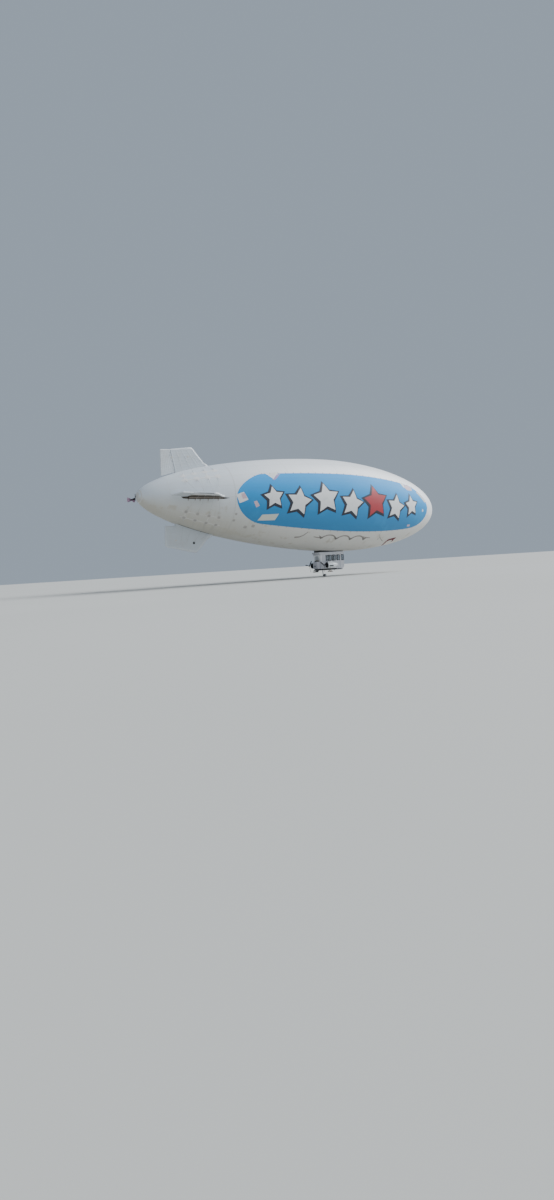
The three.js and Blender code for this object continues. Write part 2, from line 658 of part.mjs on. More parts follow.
/** The equipment box behind the cabin's lower rear wall, with the low blower hood on its shelf. */
function buildTailBox() {
  const g = GONDOLA;
  const group = new THREE.Group();
  group.position.set(g.x, 0, g.z);
  const shape = new THREE.Shape();
  shape.moveTo(-FIT_GAP, -480);
  shape.lineTo(-FIT_GAP, 480);
  shape.lineTo(-220, 430);
  shape.quadraticCurveTo(-330, 400, -330, 300);
  shape.lineTo(-330, -300);
  shape.quadraticCurveTo(-330, -400, -220, -430);
  const profile = plate([[0, 150], [0, 905], [-230, 905], [-330, 780], [-330, 330], [-240, 150]], 2000);
  group.add(piece('tail_box', prism(shape, 0, 1200).intersect(profile), paint.shell));
  const hood = plate([[-8, 905 + FIT_GAP], [-8, 1010], [-60, 1060], [-150, 1050], [-210, 1000], [-215, 905 + FIT_GAP]], 600, 20);
  group.add(piece('blower_hood', hood.translate([0, -130, 0]), paint.dark));
  return group;
}

/** The handling rail round the foot of the cabin, on short stand-offs. */
function buildRail() {
  const g = GONDOLA;
  const route = planOutline(-70, g.length - 420).getPoints(6).map((v) => new THREE.Vector3(v.x, v.y, -20));
  const path = new THREE.CatmullRomCurve3(route.slice(0, -1), true, 'catmullrom', 0.1);
  const section = new THREE.Shape(Array.from({ length: 6 }, (_, i) => {
    const a = (i * Math.PI) / 3;
    return new THREE.Vector2(18 * Math.cos(a), 18 * Math.sin(a));
  }));
  const loop = solid(new THREE.ExtrudeGeometry(section, { steps: 36, extrudePath: path }));
  const arms = [350, 1250, 2050].flatMap((x) => [-1, 1].map((side) => join(
    rod([x, side * (g.halfWidth - 60), -20], [x, side * (g.halfWidth + 70), -20], 12, 8),
    rod([x, side * (g.halfWidth - 60), -20], [x, side * (g.halfWidth - 60), -FIT_GAP], 16, 8),
  )));
  const rail = piece('handling_rail', join(loop, ...arms), paint.dark);
  rail.position.set(g.x, 0, g.z);
  return rail;
}

// Engines: outrigger, hollow nacelle, plain engine block and pusher propeller, about the nacelle's rear lip

function nacelleShell() {
  const { length, radius, mouth, wall } = ENGINE;
  const outside = [
    [0, mouth], [160, radius - 12], [380, radius], [820, radius], [1120, radius - 55], [1300, radius - 140], [length, 150],
  ];
  const inside = offsetProfile(outside, -wall);
  inside[0] = [0, mouth - wall];
  inside[inside.length - 1] = [length, 150 - wall];
  return turned([...outside, ...inside.reverse(), outside[0]], 20);
}

/** A blade as a loft of flat lens sections, twisted along its length. */
function blade() {
  const rows = [                // distance from the hub's centre, chord, thickness, twist in degrees
    { r: 50, chord: 60, thick: 40, twist: 52 },
    { r: 200, chord: 105, thick: 24, twist: 40 },
    { r: 470, chord: PROPELLER.chord, thick: 16, twist: 26 },
    { r: 690, chord: 92, thick: 10, twist: 18 },
    { r: PROPELLER.radius, chord: 44, thick: 7, twist: 16 },
  ];
  const sides = 6;
  const points = [];
  for (const { r, chord, thick, twist } of rows) {
    for (let i = 0; i < sides; i += 1) {
      const a = (i / sides) * 2 * Math.PI;
      const across = (chord / 2) * Math.cos(a);
      const through = (thick / 2) * Math.sin(a);
      const t = twist * DEGREE;
      points.push(through * Math.cos(t) - across * Math.sin(t), across * Math.cos(t) + through * Math.sin(t), r);
    }
  }
  const index = [];
  for (let row = 0; row + 1 < rows.length; row += 1) {
    for (let i = 0; i < sides; i += 1) {
      const [a, b] = [row * sides + i, row * sides + ((i + 1) % sides)];
      index.push(a, b, b + sides, a, b + sides, a + sides);
    }
  }
  const top = (rows.length - 1) * sides;
  for (let i = 1; i + 1 < sides; i += 1) {
    index.push(0, i + 1, i);
    index.push(top, top + i, top + i + 1);
  }
  const geometry = new THREE.BufferGeometry();
  geometry.setAttribute('position', new THREE.Float32BufferAttribute(points, 3));
  geometry.setIndex(index);
  return geometry;
}

/** A propeller about its own axis, its blades spaced evenly from a first angle, with its shaft into the engine. */
function propeller(firstAngle) {
  const { hub, depth, shaft, blades } = PROPELLER;
  const body = turned([[-depth, 0], [-depth + 14, 34], [-depth + 60, hub], [28, hub], [28, 0]], 18);
  const parts = [body, rod([20, 0, 0], [ENGINE.block.rear - PROPELLER.plane + 60, 0, 0], shaft, 24)];
  for (let i = 0; i < blades; i += 1) {
    parts.push(solid(blade().rotateX(firstAngle * DEGREE + (i * 2 * Math.PI) / blades)));
  }
  return join(...parts);
}

function buildEngines() {
  const engines = new THREE.Group();
  const sides = [
    { name: 'port', sign: 1, firstAngle: 40 },
    { name: 'starboard', sign: -1, firstAngle: 60 },
  ];
  for (const { name, sign, firstAngle } of sides) {
    const group = new THREE.Group();
    group.position.set(ENGINE.x, sign * ENGINE.y, ENGINE.z);
    const inward = -sign;
    const { block } = ENGINE;
    const cabinFace = ENGINE.y - GONDOLA.halfWidth - FIT_GAP;
    const blockFace = block.width / 2 + FIT_GAP;

    const holes = ENGINE.struts.map((x) => rod([x, 0, 0], [x, inward * REACH, 0], ENGINE.strutRadius + FIT_GAP + 0.7, 16));
    const { pipeX, pipeRadius, muffler, tailRear, tailRadius } = EXHAUST;
    const pipeHole = rod([pipeX, 0, 0], [pipeX, 0, -REACH], pipeRadius + FIT_GAP + 0.7, 16);
    group.add(piece(`nacelle_${name}`, nacelleShell().subtract(join(...holes, pipeHole)), paint.shell));

    const bore = rod([0, 0, 0], [block.rear + 70, 0, 0], PROPELLER.shaft + 0.5, 24);
    const engine = box(
      [block.rear, -block.width / 2, -block.height / 2],
      [block.rear + block.length, block.width / 2, block.height / 2],
    ).subtract(bore);
    group.add(piece(`engine_${name}`, engine, paint.metal));

    const tubes = ENGINE.struts.map((x) => rod([x, inward * blockFace, 0], [x, inward * (cabinFace - 4), 0], ENGINE.strutRadius, 12));
    const [first, last] = ENGINE.struts;
    const plateEnds = [inward * (cabinFace - 12), inward * cabinFace].sort((a, b) => a - b);
    const footPlate = box([first - 90, plateEnds[0], -90], [last + 90, plateEnds[1], 90]);
    const brace = rod([last, inward * (ENGINE.radius + 40), 0], [first, inward * (cabinFace - 24), 0], 16, 8);
    group.add(piece(`outrigger_${name}`, join(...tubes, footPlate, brace), paint.metal));

    const prop = piece(`propeller_${name}`, propeller(firstAngle), paint.dark);
    prop.position.x = PROPELLER.plane;
    group.add(prop);

    const exhaust = join(
      rod([pipeX, 0, -block.height / 2 - FIT_GAP], [pipeX, 0, EXHAUST.z], pipeRadius, 12),
      rod([muffler.rear, 0, EXHAUST.z], [muffler.front, 0, EXHAUST.z], muffler.radius, 14),
      rod([tailRear, 0, EXHAUST.z], [muffler.rear + 40, 0, EXHAUST.z], tailRadius, 10),
    );
    group.add(piece(`exhaust_${name}`, exhaust, paint.dark));
    engines.add(group);
  }
  return engines;
}

// Landing gear: a fixed leg, and below it the castoring fork with its twin wheels

function buildGear() {
  const gear = new THREE.Group();
  const panBottom = GONDOLA.z;
  const leg = join(
    rod([LEG.x, 0, panBottom - FIT_GAP], [LEG.x, 0, LEG.foot], LEG.radius, 16),
    rod([LEG.x, 0, panBottom - FIT_GAP], [LEG.x, 0, panBottom - 20], 110, 16),
    rod([LEG.x, 0, LEG.foot + 30], [LEG.x, 0, LEG.foot - 60], 18, 12),
  );
  gear.add(piece('gear_leg', leg, paint.shell));
  const axleZ = GROUND + WHEEL.radius;
  const head = rod([LEG.x, 0, LEG.foot - FIT_GAP], [LEG.x, 0, LEG.foot - 110], 50, 16);
  const arm = plate([
    [LEG.x - 44, LEG.foot - 60], [LEG.x + 46, LEG.foot - 50], [WHEEL.x + 30, axleZ + 30], [WHEEL.x + 30, axleZ - 30],
    [WHEEL.x - 40, axleZ - 34], [LEG.x - 30, LEG.foot - 108],
  ], 46);
  const pivotBore = rod([LEG.x, 0, LEG.foot + 5], [LEG.x, 0, LEG.foot - 68], 19.2, 12);
  const axleBore = rod([WHEEL.x, -100, axleZ], [WHEEL.x, 100, axleZ], WHEEL.axle + 1, 12);
  gear.add(piece('castor_fork', join(head, arm).subtract(pivotBore).subtract(axleBore), paint.metal));

  const hubs = [-1, 1].map((side) => rod(
    [WHEEL.x, side * (WHEEL.track / 2 - WHEEL.width / 2 - 8), axleZ],
    [WHEEL.x, side * (WHEEL.track / 2 + WHEEL.width / 2 - 12), axleZ],
    WHEEL.hub,
    24,
  ));
  const axle = rod([WHEEL.x, -WHEEL.track / 2, axleZ], [WHEEL.x, WHEEL.track / 2, axleZ], WHEEL.axle, 12);
  gear.add(piece('wheel_hub', join(axle, ...hubs), paint.metal));
  for (const [name, side] of [['tyre_port', 1], ['tyre_starboard', -1]]) {
    const w = WHEEL.width / 2;
    const inner = WHEEL.hub + FIT_GAP;
    const section = [
      [inner, -w + 8], [WHEEL.radius - 22, -w], [WHEEL.radius - 4, -w + 20], [WHEEL.radius, -8],
      [WHEEL.radius, 8], [WHEEL.radius - 4, w - 20], [WHEEL.radius - 22, w], [inner, w - 8], [inner, -w + 8],
    ];
    const ring = solid(new THREE.LatheGeometry(section.map(([r, y]) => new THREE.Vector2(r, y)), 24));
    const tyre = piece(name, ring, paint.rubber);
    tyre.position.set(WHEEL.x, (side * WHEEL.track) / 2, axleZ);
    gear.add(tyre);
  }
  return gear;
}

const airship = new THREE.Group();
airship.add(
  buildHull(), buildFins(), buildStays(), buildCabin(), buildCollar(), buildTailBox(), buildRail(), buildEngines(), buildGear(),
);

export default airship;
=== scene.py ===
"""A 39 m class two-engine non-rigid airship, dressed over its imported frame.

Metres in the row frame: +X to the nose, +Y to port, +Z up, the origin at the centre of buoyancy.
The hull and its fins ride 2.6 degrees nose-down, and the cabin below them hangs level.
"""

import json
import logging
import math
from collections.abc import Callable, Iterable
from dataclasses import dataclass
from enum import Enum

import bmesh
import bpy
import numpy as np
from mathutils import Matrix, Vector

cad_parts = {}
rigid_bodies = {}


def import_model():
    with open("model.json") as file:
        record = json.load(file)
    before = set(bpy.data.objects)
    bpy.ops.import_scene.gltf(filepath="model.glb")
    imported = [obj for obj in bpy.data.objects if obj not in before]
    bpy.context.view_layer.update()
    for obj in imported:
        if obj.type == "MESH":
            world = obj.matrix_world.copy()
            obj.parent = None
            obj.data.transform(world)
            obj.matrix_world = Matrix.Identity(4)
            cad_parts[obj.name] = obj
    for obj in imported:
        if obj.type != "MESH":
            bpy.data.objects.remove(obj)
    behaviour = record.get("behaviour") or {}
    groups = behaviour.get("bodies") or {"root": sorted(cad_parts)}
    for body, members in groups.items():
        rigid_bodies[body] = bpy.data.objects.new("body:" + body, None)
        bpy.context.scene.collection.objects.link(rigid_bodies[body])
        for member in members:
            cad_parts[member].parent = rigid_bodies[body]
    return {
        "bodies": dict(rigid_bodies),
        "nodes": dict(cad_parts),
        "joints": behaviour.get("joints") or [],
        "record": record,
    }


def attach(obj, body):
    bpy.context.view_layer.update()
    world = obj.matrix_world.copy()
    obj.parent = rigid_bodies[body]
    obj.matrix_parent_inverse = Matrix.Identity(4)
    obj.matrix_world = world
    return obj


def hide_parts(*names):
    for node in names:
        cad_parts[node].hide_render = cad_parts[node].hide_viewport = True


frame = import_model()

Array = np.ndarray
Colour = tuple[float, float, float]
Point = tuple[float, float, float]
Pair = tuple[float, float]
Route = tuple[Pair, ...]
Band = tuple[Route, Pair, float]
ORIGIN = (0.0, 0.0, 0.0)
AHEAD = (1, 0, 0)
ASTERN = (-1, 0, 0)
TO_PORT = (0, 1, 0)
UP = (0, 0, 1)
DOWN = (0, 0, -1)
LOG = logging.getLogger("airship")
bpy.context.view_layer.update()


class Named(Enum):
    """A place on the airship, whose name is part of the nodes' names."""

    @property
    def word(self) -> str:
        """The place's name as the nodes spell it."""
        return self.name.lower()


class Side(Named):
    """A flank of the airship, as the sign of its y."""

    PORT = 1
    STARBOARD = -1


class Body(Enum):
    """A body of the frame that pieces ride on."""

    AIRFRAME = "airframe"
    RUDDER = "rudder"
    ELEVATOR_PORT = "elevator_port"
    ELEVATOR_STARBOARD = "elevator_starboard"
    PROPELLER_PORT = "propeller_port"
    PROPELLER_STARBOARD = "propeller_starboard"
    DOOR = "door"
    CASTOR = "castor"
    WHEELS = "wheels"


# Shader expressions


def operator(operation: str, swapped: bool = False) -> Callable[..., "Value"]:
    """A method of Value that adds a Math node over the value and another one, or over the two swapped."""

    def method(self: "Value", other: "Value | float") -> "Value":
        """The node's result."""
        return self.maths(operation, *((other, self) if swapped else (self, other)))

    return method


class Value:
    """A shader value that can be written into an expression, where each operator adds its Math node."""

    __add__ = __radd__ = operator("ADD")
    __sub__ = operator("SUBTRACT")
    __rsub__ = operator("SUBTRACT", swapped=True)
    __mul__ = __rmul__ = operator("MULTIPLY")
    __truediv__ = operator("DIVIDE")
    least = operator("MINIMUM")
    most = operator("MAXIMUM")

    def __init__(self, tree: "Shader", socket: bpy.types.NodeSocket) -> None:
        """Wraps one output socket of a tree."""
        self.tree = tree
        self.socket = socket

    def maths(self, operation: str, *operands: "Value | float") -> "Value":
        """A Math node over these operands, in their order."""
        return self.tree.node("ShaderNodeMath", {"operation": operation}, dict(enumerate(operands)))

    def also(self, name: str) -> "Value":
        """Another output of the node that this value comes from."""
        return Value(self.tree, self.socket.node.outputs[name])

    def __abs__(self) -> "Value":
        """The distance from zero."""
        return self.maths("ABSOLUTE", self)

    def fract(self) -> "Value":
        """The part after the decimal point."""
        return self.maths("FRACT", self)

    def cosine(self) -> "Value":
        """The cosine of an angle in radians."""
        return self.maths("COSINE", self)

    def rise(self, low: float, high: float) -> "Value":
        """0 below low, 1 above high and a smooth step between them; it falls where low is above high."""
        if low > high:
            return 1.0 - self.rise(high, low)
        sockets = {"Value": self, "From Min": low, "From Max": high}
        return self.tree.node("ShaderNodeMapRange", {"interpolation_type": "SMOOTHSTEP"}, sockets)

    def near(self, centre: float, width: float, soft: float = 0.5) -> "Value":
        """1 within a width about a centre, falling to 0 over the soft share of that width beyond it."""
        return abs(self - centre).rise(width * (0.5 + soft), width * 0.5)


class Shader:
    """The node tree of one material."""

    def __init__(self, name: str) -> None:
        """Starts an empty tree with its output node."""
        self.material = bpy.data.materials.new(name)
        self.material.use_nodes = True
        self.nodes = self.material.node_tree.nodes
        self.nodes.clear()

    def node(
        self,
        kind: str,
        settings: dict | None = None,
        sockets: dict | None = None,
        out: str | int = 0,
    ) -> Value | None:
        """Adds a node.

        Args:
            kind: The node's type.
            settings: What is set first, such as a Math node's operation.
            sockets: Values or links of its input sockets, by name or number.
            out: The output that is returned.

        Returns:
            That output as a value, or None for a node that has none.
        """
        made = self.nodes.new(kind)
        for name, value in (settings or {}).items():
            setattr(made, name, value)
        for name, value in (sockets or {}).items():
            if isinstance(value, Value):
                self.material.node_tree.links.new(value.socket, made.inputs[name])
            elif value is not None:
                made.inputs[name].default_value = value
        return Value(self, made.outputs[out]) if len(made.outputs) else None

    def place(self, *scale: float) -> Value:
        """Object coordinates, which are the row frame's, with each axis scaled."""
        objects = self.node("ShaderNodeTexCoord", out="Object")
        return self.node("ShaderNodeMapping", None, {"Vector": objects, "Scale": scale or (1, 1, 1)})

    def surface(self) -> Value:
        """The piece's own UV map."""
        return self.node("ShaderNodeUVMap", {"uv_map": "surface"})

    def parts(self, vector: Value) -> tuple[Value, Value, Value]:
        """A vector's three numbers."""
        x = self.node("ShaderNodeSeparateXYZ", None, {0: vector})
        return x, x.also("Y"), x.also("Z")

    def noise(self, where: Value, scale: float, detail: float, rough: float = 0.5) -> Value:
        """Noise from 0 to 1."""
        sockets = {"Vector": where, "Scale": scale, "Detail": detail, "Roughness": rough}
        return self.node("ShaderNodeTexNoise", None, sockets)

    def mix(self, first: Value | Colour, second: Value | Colour, share: Value | float) -> Value:
        """A colour that goes from the first to the second with a share."""
        first, second = (c if isinstance(c, Value) else (*c, 1.0) for c in (first, second))
        return self.node("ShaderNodeMix", {"data_type": "RGBA"}, {0: share, 6: first, 7: second}, out=2)

    def relief(self, height: Value, distance: float = 1.0) -> Value:
        """A normal that is bent by a height in metres, times a distance."""
        return self.node("ShaderNodeBump", None, {"Height": height, "Distance": distance})

    def finish(
        self, colour: Value | Colour, rough: Value | float, normal: Value | None = None, **more: object
    ) -> None:
        """Ends the tree in one Principled shader.

        Args:
            colour: Base colour.
            rough: Roughness.
            normal: A bumped normal.
            **more: Other sockets by name, with _ for a space.
        """
        base = colour if isinstance(colour, Value) else (*colour, 1.0)
        sockets = {"Base Color": base, "Roughness": rough, "Normal": normal}
        sockets |= {name.replace("_", " "): value for name, value in more.items()}
        shader = self.node("ShaderNodeBsdfPrincipled", None, sockets)
        self.node("ShaderNodeOutputMaterial", None, {"Surface": shader})


# Finishes


@dataclass(frozen=True)
class Finish:
    """A finish that makes its material once."""

    name: str

    def material(self) -> bpy.types.Material:
        """The finish's material."""
        found = bpy.data.materials.get(self.name)
        if found is None:
            shader = Shader(self.name)
            self.dress(shader)
            found = shader.material
        return found

    def dress(self, shader: Shader) -> None:
        """Builds the nodes; each finish has its own."""
        raise NotImplementedError


@dataclass(frozen=True)
class HullCloth(Finish):
    """Coated white polyester: lengthwise gores, ring seams, stains towards the tail, painted shade towards
    the tail, and dirt mixed with painted shade low down.

    The surface map's first number runs from the stern to the nose, and its second round from the keel.
    """

    white: Colour = (0.87, 0.88, 0.89)
    # shaded is the tail's painted shade; the dirt colour below also carries painted shade on the belly.
    shaded: Colour = (0.67, 0.72, 0.765)
    grime: Colour = (0.50, 0.465, 0.38)
    tape: Colour = (0.60, 0.585, 0.56)
    lacing: Colour = (0.30, 0.29, 0.28)
    gores: int = 20
    eyelets: int = 150
    ring_pitch: float = 3.1
    length: float = 38.4
    stern: float = -20.8
    laced_ring: float = -12.0

    def dress(self, shader: Shader) -> None:
        """White cloth greyed towards the tail as painted shade, then mottling, dirt mixed with painted shade
        low down, stains, run marks and seams over it.
        """
        along, around, _ = shader.parts(shader.surface())
        station = along * self.length + self.stern
        level = -1.0 * (around * (2 * math.pi)).cosine()
        where = shader.place()
        cloud = shader.noise(where, 0.16, 4)
        blot = shader.noise(where, 0.9, 5, 0.62)
        runs = shader.noise(shader.place(1.0, 0.12, 0.12), 2.4, 4, 0.6)

        # Darker low down: partly dirt, partly painted shade on the belly.
        lower = level.rise(0.25, -0.95)
        tailward = station.rise(-3.0, -15.0)
        soil_and_shade = lower * 0.55 + lower * tailward * 0.25
        stains = blot.rise(0.56, 0.74) * (lower * 0.5 + tailward * 0.28 * level.rise(0.5, -0.4))
        marks = runs.rise(0.56, 0.78) * level.rise(0.75, -0.2) * 0.14
        cover = (soil_and_shade + stains + marks + cloud.rise(0.35, 0.8) * 0.10).least(0.85)

        gore = (around * self.gores + 0.5).fract().near(0.5, 0.035)
        ring = (station / self.ring_pitch + 0.37).fract().near(0.5, 0.014)
        dashes = (around * self.eyelets).fract().near(0.5, 0.5, 0.2)
        laced = station.near(self.laced_ring, 0.09) * dashes
        seam = gore.most(ring)
        # Painted shade: the hull greys towards the tail.
        colour = shader.mix(self.white, self.shaded, tailward)
        colour = shader.mix(colour, self.grime, cover)
        colour = shader.mix(colour, self.tape, seam * 0.30)
        colour = shader.mix(colour, self.lacing, laced * 0.25)

        weave = shader.noise(where, 90, 2)
        slack = shader.noise(shader.place(0.25, 1, 1), 0.8, 3, 0.55)
        height = slack * 0.012 + weave * 0.0006 + seam * 0.003
        shader.finish(colour, 0.42 + cover * 0.3, shader.relief(height), Sheen_Weight=0.05)


@dataclass(frozen=True)
class PanelCloth(Finish):
    """The printed flank panel: sky blue above, deeper blue below, faded in patches, with lengthwise seams."""

    upper: Colour = (0.012, 0.33, 0.75)
    lower: Colour = (0.045, 0.235, 0.48)
    faded: Colour = (0.065, 0.40, 0.73)
    stitched: Colour = (0.05, 0.20, 0.36)
    strips: int = 5

    def dress(self, shader: Shader) -> None:
        """The print's two blues by height, then fading and the seams between its strips."""
        _, around, _ = shader.parts(shader.surface())
        where = shader.place()
        fade = shader.noise(where, 0.35, 4, 0.6)
        grain = shader.noise(where, 6.0, 4, 0.6)
        colour = shader.mix(self.lower, self.upper, around.rise(0.02, 0.98))
        colour = shader.mix(colour, self.faded, fade.rise(0.5, 0.8) * 0.32 + grain.rise(0.55, 0.8) * 0.10)
        seam = (around * self.strips).fract().near(0.5, 0.02)
        colour = shader.mix(colour, self.stitched, seam * 0.25)
        slack = shader.noise(shader.place(0.3, 1, 1), 1.1, 3)
        height = slack * 0.014 + seam * 0.002 + shader.noise(where, 80, 2) * 0.0006
        shader.finish(colour, 0.50 + fade * 0.15, shader.relief(height), Specular_IOR_Level=0.22)


@dataclass(frozen=True)
class PrintedCloth(Finish):
    """Plain printed or patch cloth of one colour, a little uneven."""

    colour: Colour = (0.8, 0.8, 0.8)
    worn: Colour = (0.6, 0.6, 0.6)
    rough: float = 0.5

    def dress(self, shader: Shader) -> None:
        """The colour with worn blotches and a fine weave."""
        where = shader.place()
        wear = shader.noise(where, 1.6, 5, 0.62)
        height = shader.noise(where, 80, 2) * 0.0008 + shader.noise(where, 1.3, 2) * 0.008
        colour = shader.mix(self.colour, self.worn, wear.rise(0.45, 0.78) * 0.55)
        shader.finish(colour, self.rough + wear * 0.2, shader.relief(height))


@dataclass(frozen=True)
class FinCloth(Finish):
    """Doped cloth over a fin's frame: pale grey, dusty in soft blotches, with small scuffs."""

    colour: Colour = (0.66, 0.68, 0.68)
    dusty: Colour = (0.48, 0.46, 0.42)
    scuff: Colour = (0.2, 0.2, 0.2)

    def dress(self, shader: Shader) -> None:
        """Grey cloth, dust in soft blotches, and thin dark scuffs."""
        where = shader.place()
        dust = shader.noise(where, 0.7, 5, 0.6)
        scuffs = shader.noise(shader.place(1.0, 4.0, 5.0), 2.2, 3, 0.7)
        colour = shader.mix(self.colour, self.dusty, dust.rise(0.45, 0.8) * 0.38)
        colour = shader.mix(colour, self.scuff, scuffs.rise(0.72, 0.80) * 0.35)
        height = shader.noise(where, 70, 2) * 0.0008 + dust * 0.006
        shader.finish(colour, 0.55 + dust * 0.15, shader.relief(height))


@dataclass(frozen=True)
class ShadedUndersideCloth(FinCloth):
    """Fin cloth with painted shade on its root half, and a brown band of painted ground bounce and scuffs
    along the middle of it.

    The surface map's first number runs from the root to the tip.
    """

    # The coat colour is painted shade under the fin; the brown beside it is painted bounce light from the
    # ground, broken by scuffs.
    coat: Colour = (0.072, 0.065, 0.055)
    scuffed: Colour = (0.24, 0.22, 0.19)

    def dress(self, shader: Shader) -> None:
        """The cloth, and the painted shade up to a soft edge near half-span."""
        up, _, _ = shader.parts(shader.surface())
        where = shader.place()
        dust = shader.noise(where, 0.7, 5, 0.6)
        scuffs = shader.noise(shader.place(0.4, 2.0, 2.0), 2.6, 4, 0.6)
        dark = shader.mix(self.coat, self.scuffed, up.near(0.30, 0.16, 0.5) * scuffs.rise(0.30, 0.60))
        colour = shader.mix(self.colour, self.dusty, dust.rise(0.45, 0.8) * 0.25)
        colour = shader.mix(colour, dark, (up + (scuffs - 0.5) * 0.05).rise(0.60, 0.52))
        height = shader.noise(where, 70, 2) * 0.0008 + dust * 0.006
        shader.finish(colour, 0.6 + dust * 0.15, shader.relief(height))


@dataclass(frozen=True)
class Paint(Finish):
    """Paint over composite or metal, with dirt in soft patches and fine orange peel."""

    colour: Colour = (0.78, 0.79, 0.82)
    dirt: Colour = (0.42, 0.39, 0.35)
    rough: float = 0.35
    dirty: float = 0.3
    metallic: float = 0.0
    coat: float = 0.25

    def dress(self, shader: Shader) -> None:
        """The paint, dust, small chips and peel."""
        where = shader.place()
        dust = shader.noise(where, 3.0, 6, 0.62)
        chips = shader.noise(where, 38, 3, 0.6).rise(0.70, 0.74)
        cover = dust.rise(0.48, 0.82) * self.dirty
        colour = shader.mix(self.colour, self.dirt, cover)
        colour = shader.mix(colour, self.dirt, chips * 0.5 * self.dirty)
        height = shader.noise(where, 260, 2) * 0.0002 + dust * 0.0005
        rough = self.rough + cover * 0.4
        shader.finish(colour, rough, shader.relief(height), Metallic=self.metallic, Coat_Weight=self.coat)


@dataclass(frozen=True)
class BareMetal(Finish):
    """Brushed or cast metal with an oily darkening."""

    colour: Colour = (0.56, 0.57, 0.58)
    rough: float = 0.38
    oil: Colour = (0.12, 0.11, 0.10)
    stretch: Colour = (1.0, 8.0, 8.0)

    def dress(self, shader: Shader) -> None:
        """Brush lines in the bump and roughness, and patches of oil."""
        where = shader.place()
        oily = shader.noise(where, 9, 4, 0.6).rise(0.5, 0.8)
        brush = shader.noise(shader.place(*self.stretch), 60, 3, 0.6)
        colour = shader.mix(self.colour, self.oil, oily * 0.5)
        rough = self.rough + brush * 0.15 + oily * 0.15
        shader.finish(colour, rough, shader.relief(brush, 0.0004), Metallic=0.9)


@dataclass(frozen=True)
class Rubber(Finish):
    """Rubber, greyed where dust sits."""

    colour: Colour = (0.030, 0.030, 0.032)
    dusty: Colour = (0.16, 0.14, 0.12)

    def dress(self, shader: Shader) -> None:
        """Dark rubber with dust."""
        where = shader.place()
        dust = shader.noise(where, 14, 5, 0.65)
        colour = shader.mix(self.colour, self.dusty, dust.rise(0.5, 0.8) * 0.6)
        shader.finish(colour, 0.75 + dust * 0.15, shader.relief(shader.noise(where, 240, 3), 0.0005))


@dataclass(frozen=True)
class Acrylic(Finish):
    """Tinted clear acrylic with faint scratches."""

    tint: Colour = (0.10, 0.13, 0.13)
    opacity: float = 0.24

    def dress(self, shader: Shader) -> None:
        """A glossy see-through sheet, hazier where it is scratched."""
        scratches = shader.noise(shader.place(1, 1, 9), 30, 3, 0.6).rise(0.62, 0.75)
        alpha = self.opacity + scratches * 0.08
        shader.finish(self.tint, 0.05 + scratches * 0.12, Alpha=alpha, IOR=1.49)
        shader.material.surface_render_method = "BLENDED"


@dataclass(frozen=True)
class Woven(Finish):
    """Seat cloth: a two-tone basket weave that follows the pad, worn paler on its crown."""

    colour: Colour = (0.075, 0.095, 0.13)
    light: Colour = (0.16, 0.19, 0.24)
    threads: float = 90.0

    def dress(self, shader: Shader) -> None:
        """Warp and weft from the surface map, as colour and as relief."""
        u, v, _ = shader.parts(shader.surface())
        warp = abs((u * self.threads).fract() - 0.5) * 2
        weft = abs((v * self.threads).fract() - 0.5) * 2
        thread = warp.most(weft)
        wear = shader.noise(shader.place(), 7, 4)
        colour = shader.mix(self.colour, self.light, thread * 0.45 + wear.rise(0.5, 0.8) * 0.35)
        shader.finish(colour, 0.85, shader.relief(thread, 0.0012), Sheen_Weight=0.25)


@dataclass(frozen=True)
class WireRope(Finish):
    """Galvanised wire rope: strands laid at an angle, from the wire's own map."""

    colour: Colour = (0.52, 0.53, 0.54)
    groove: Colour = (0.25, 0.25, 0.25)
    strands: int = 6
    turns: int = 40

    def dress(self, shader: Shader) -> None:
        """Slanting strands as relief and tone."""
        along, around, _ = shader.parts(shader.surface())
        strand = abs((along * self.turns + around * self.strands).fract() - 0.5) * 2
        colour = shader.mix(self.colour, self.groove, strand * 0.5)
        shader.finish(colour, 0.5, shader.relief(strand, 0.002), Metallic=0.4)


@dataclass(frozen=True)
class Ground(Finish):
    """The pale studio floor."""

    colour: Colour = (0.52, 0.51, 0.48)
    mottle: Colour = (0.48, 0.47, 0.44)

    def dress(self, shader: Shader) -> None:
        """A plain pale floor with the faintest mottling."""
        cloud = shader.noise(shader.place(), 0.05, 3)
        shader.finish(shader.mix(self.colour, self.mottle, cloud.rise(0.3, 0.7) * 0.4), 0.9)


HULL_CLOTH = HullCloth("hull_cloth")
PANEL_CLOTH = PanelCloth("panel_cloth")
WHITE_PRINT = PrintedCloth("white_print", (0.80, 0.80, 0.79), (0.66, 0.66, 0.66))
INK = PrintedCloth("dark_print", (0.022, 0.026, 0.040), (0.05, 0.06, 0.08))
RED_PRINT = PrintedCloth("red_print", (0.44, 0.045, 0.055), (0.40, 0.08, 0.08))
PINK_PATCH = PrintedCloth("pink_patch", (0.62, 0.45, 0.50), (0.66, 0.58, 0.60))
MAUVE_PATCH = PrintedCloth("mauve_patch", (0.36, 0.26, 0.50), (0.55, 0.48, 0.62))
CREAM_PATCH = PrintedCloth("cream_patch", (0.62, 0.64, 0.56), (0.50, 0.58, 0.58))
LOAD_CLOTH = PrintedCloth("load_patch_cloth", (0.57, 0.55, 0.51), (0.62, 0.60, 0.56), 0.7)
LOAD_RING = PrintedCloth("load_ring_cloth", (0.40, 0.38, 0.35), (0.48, 0.46, 0.42), 0.8)
PALE_PATCH = PrintedCloth("pale_patch_cloth", (0.76, 0.755, 0.745), (0.71, 0.70, 0.685), 0.6)
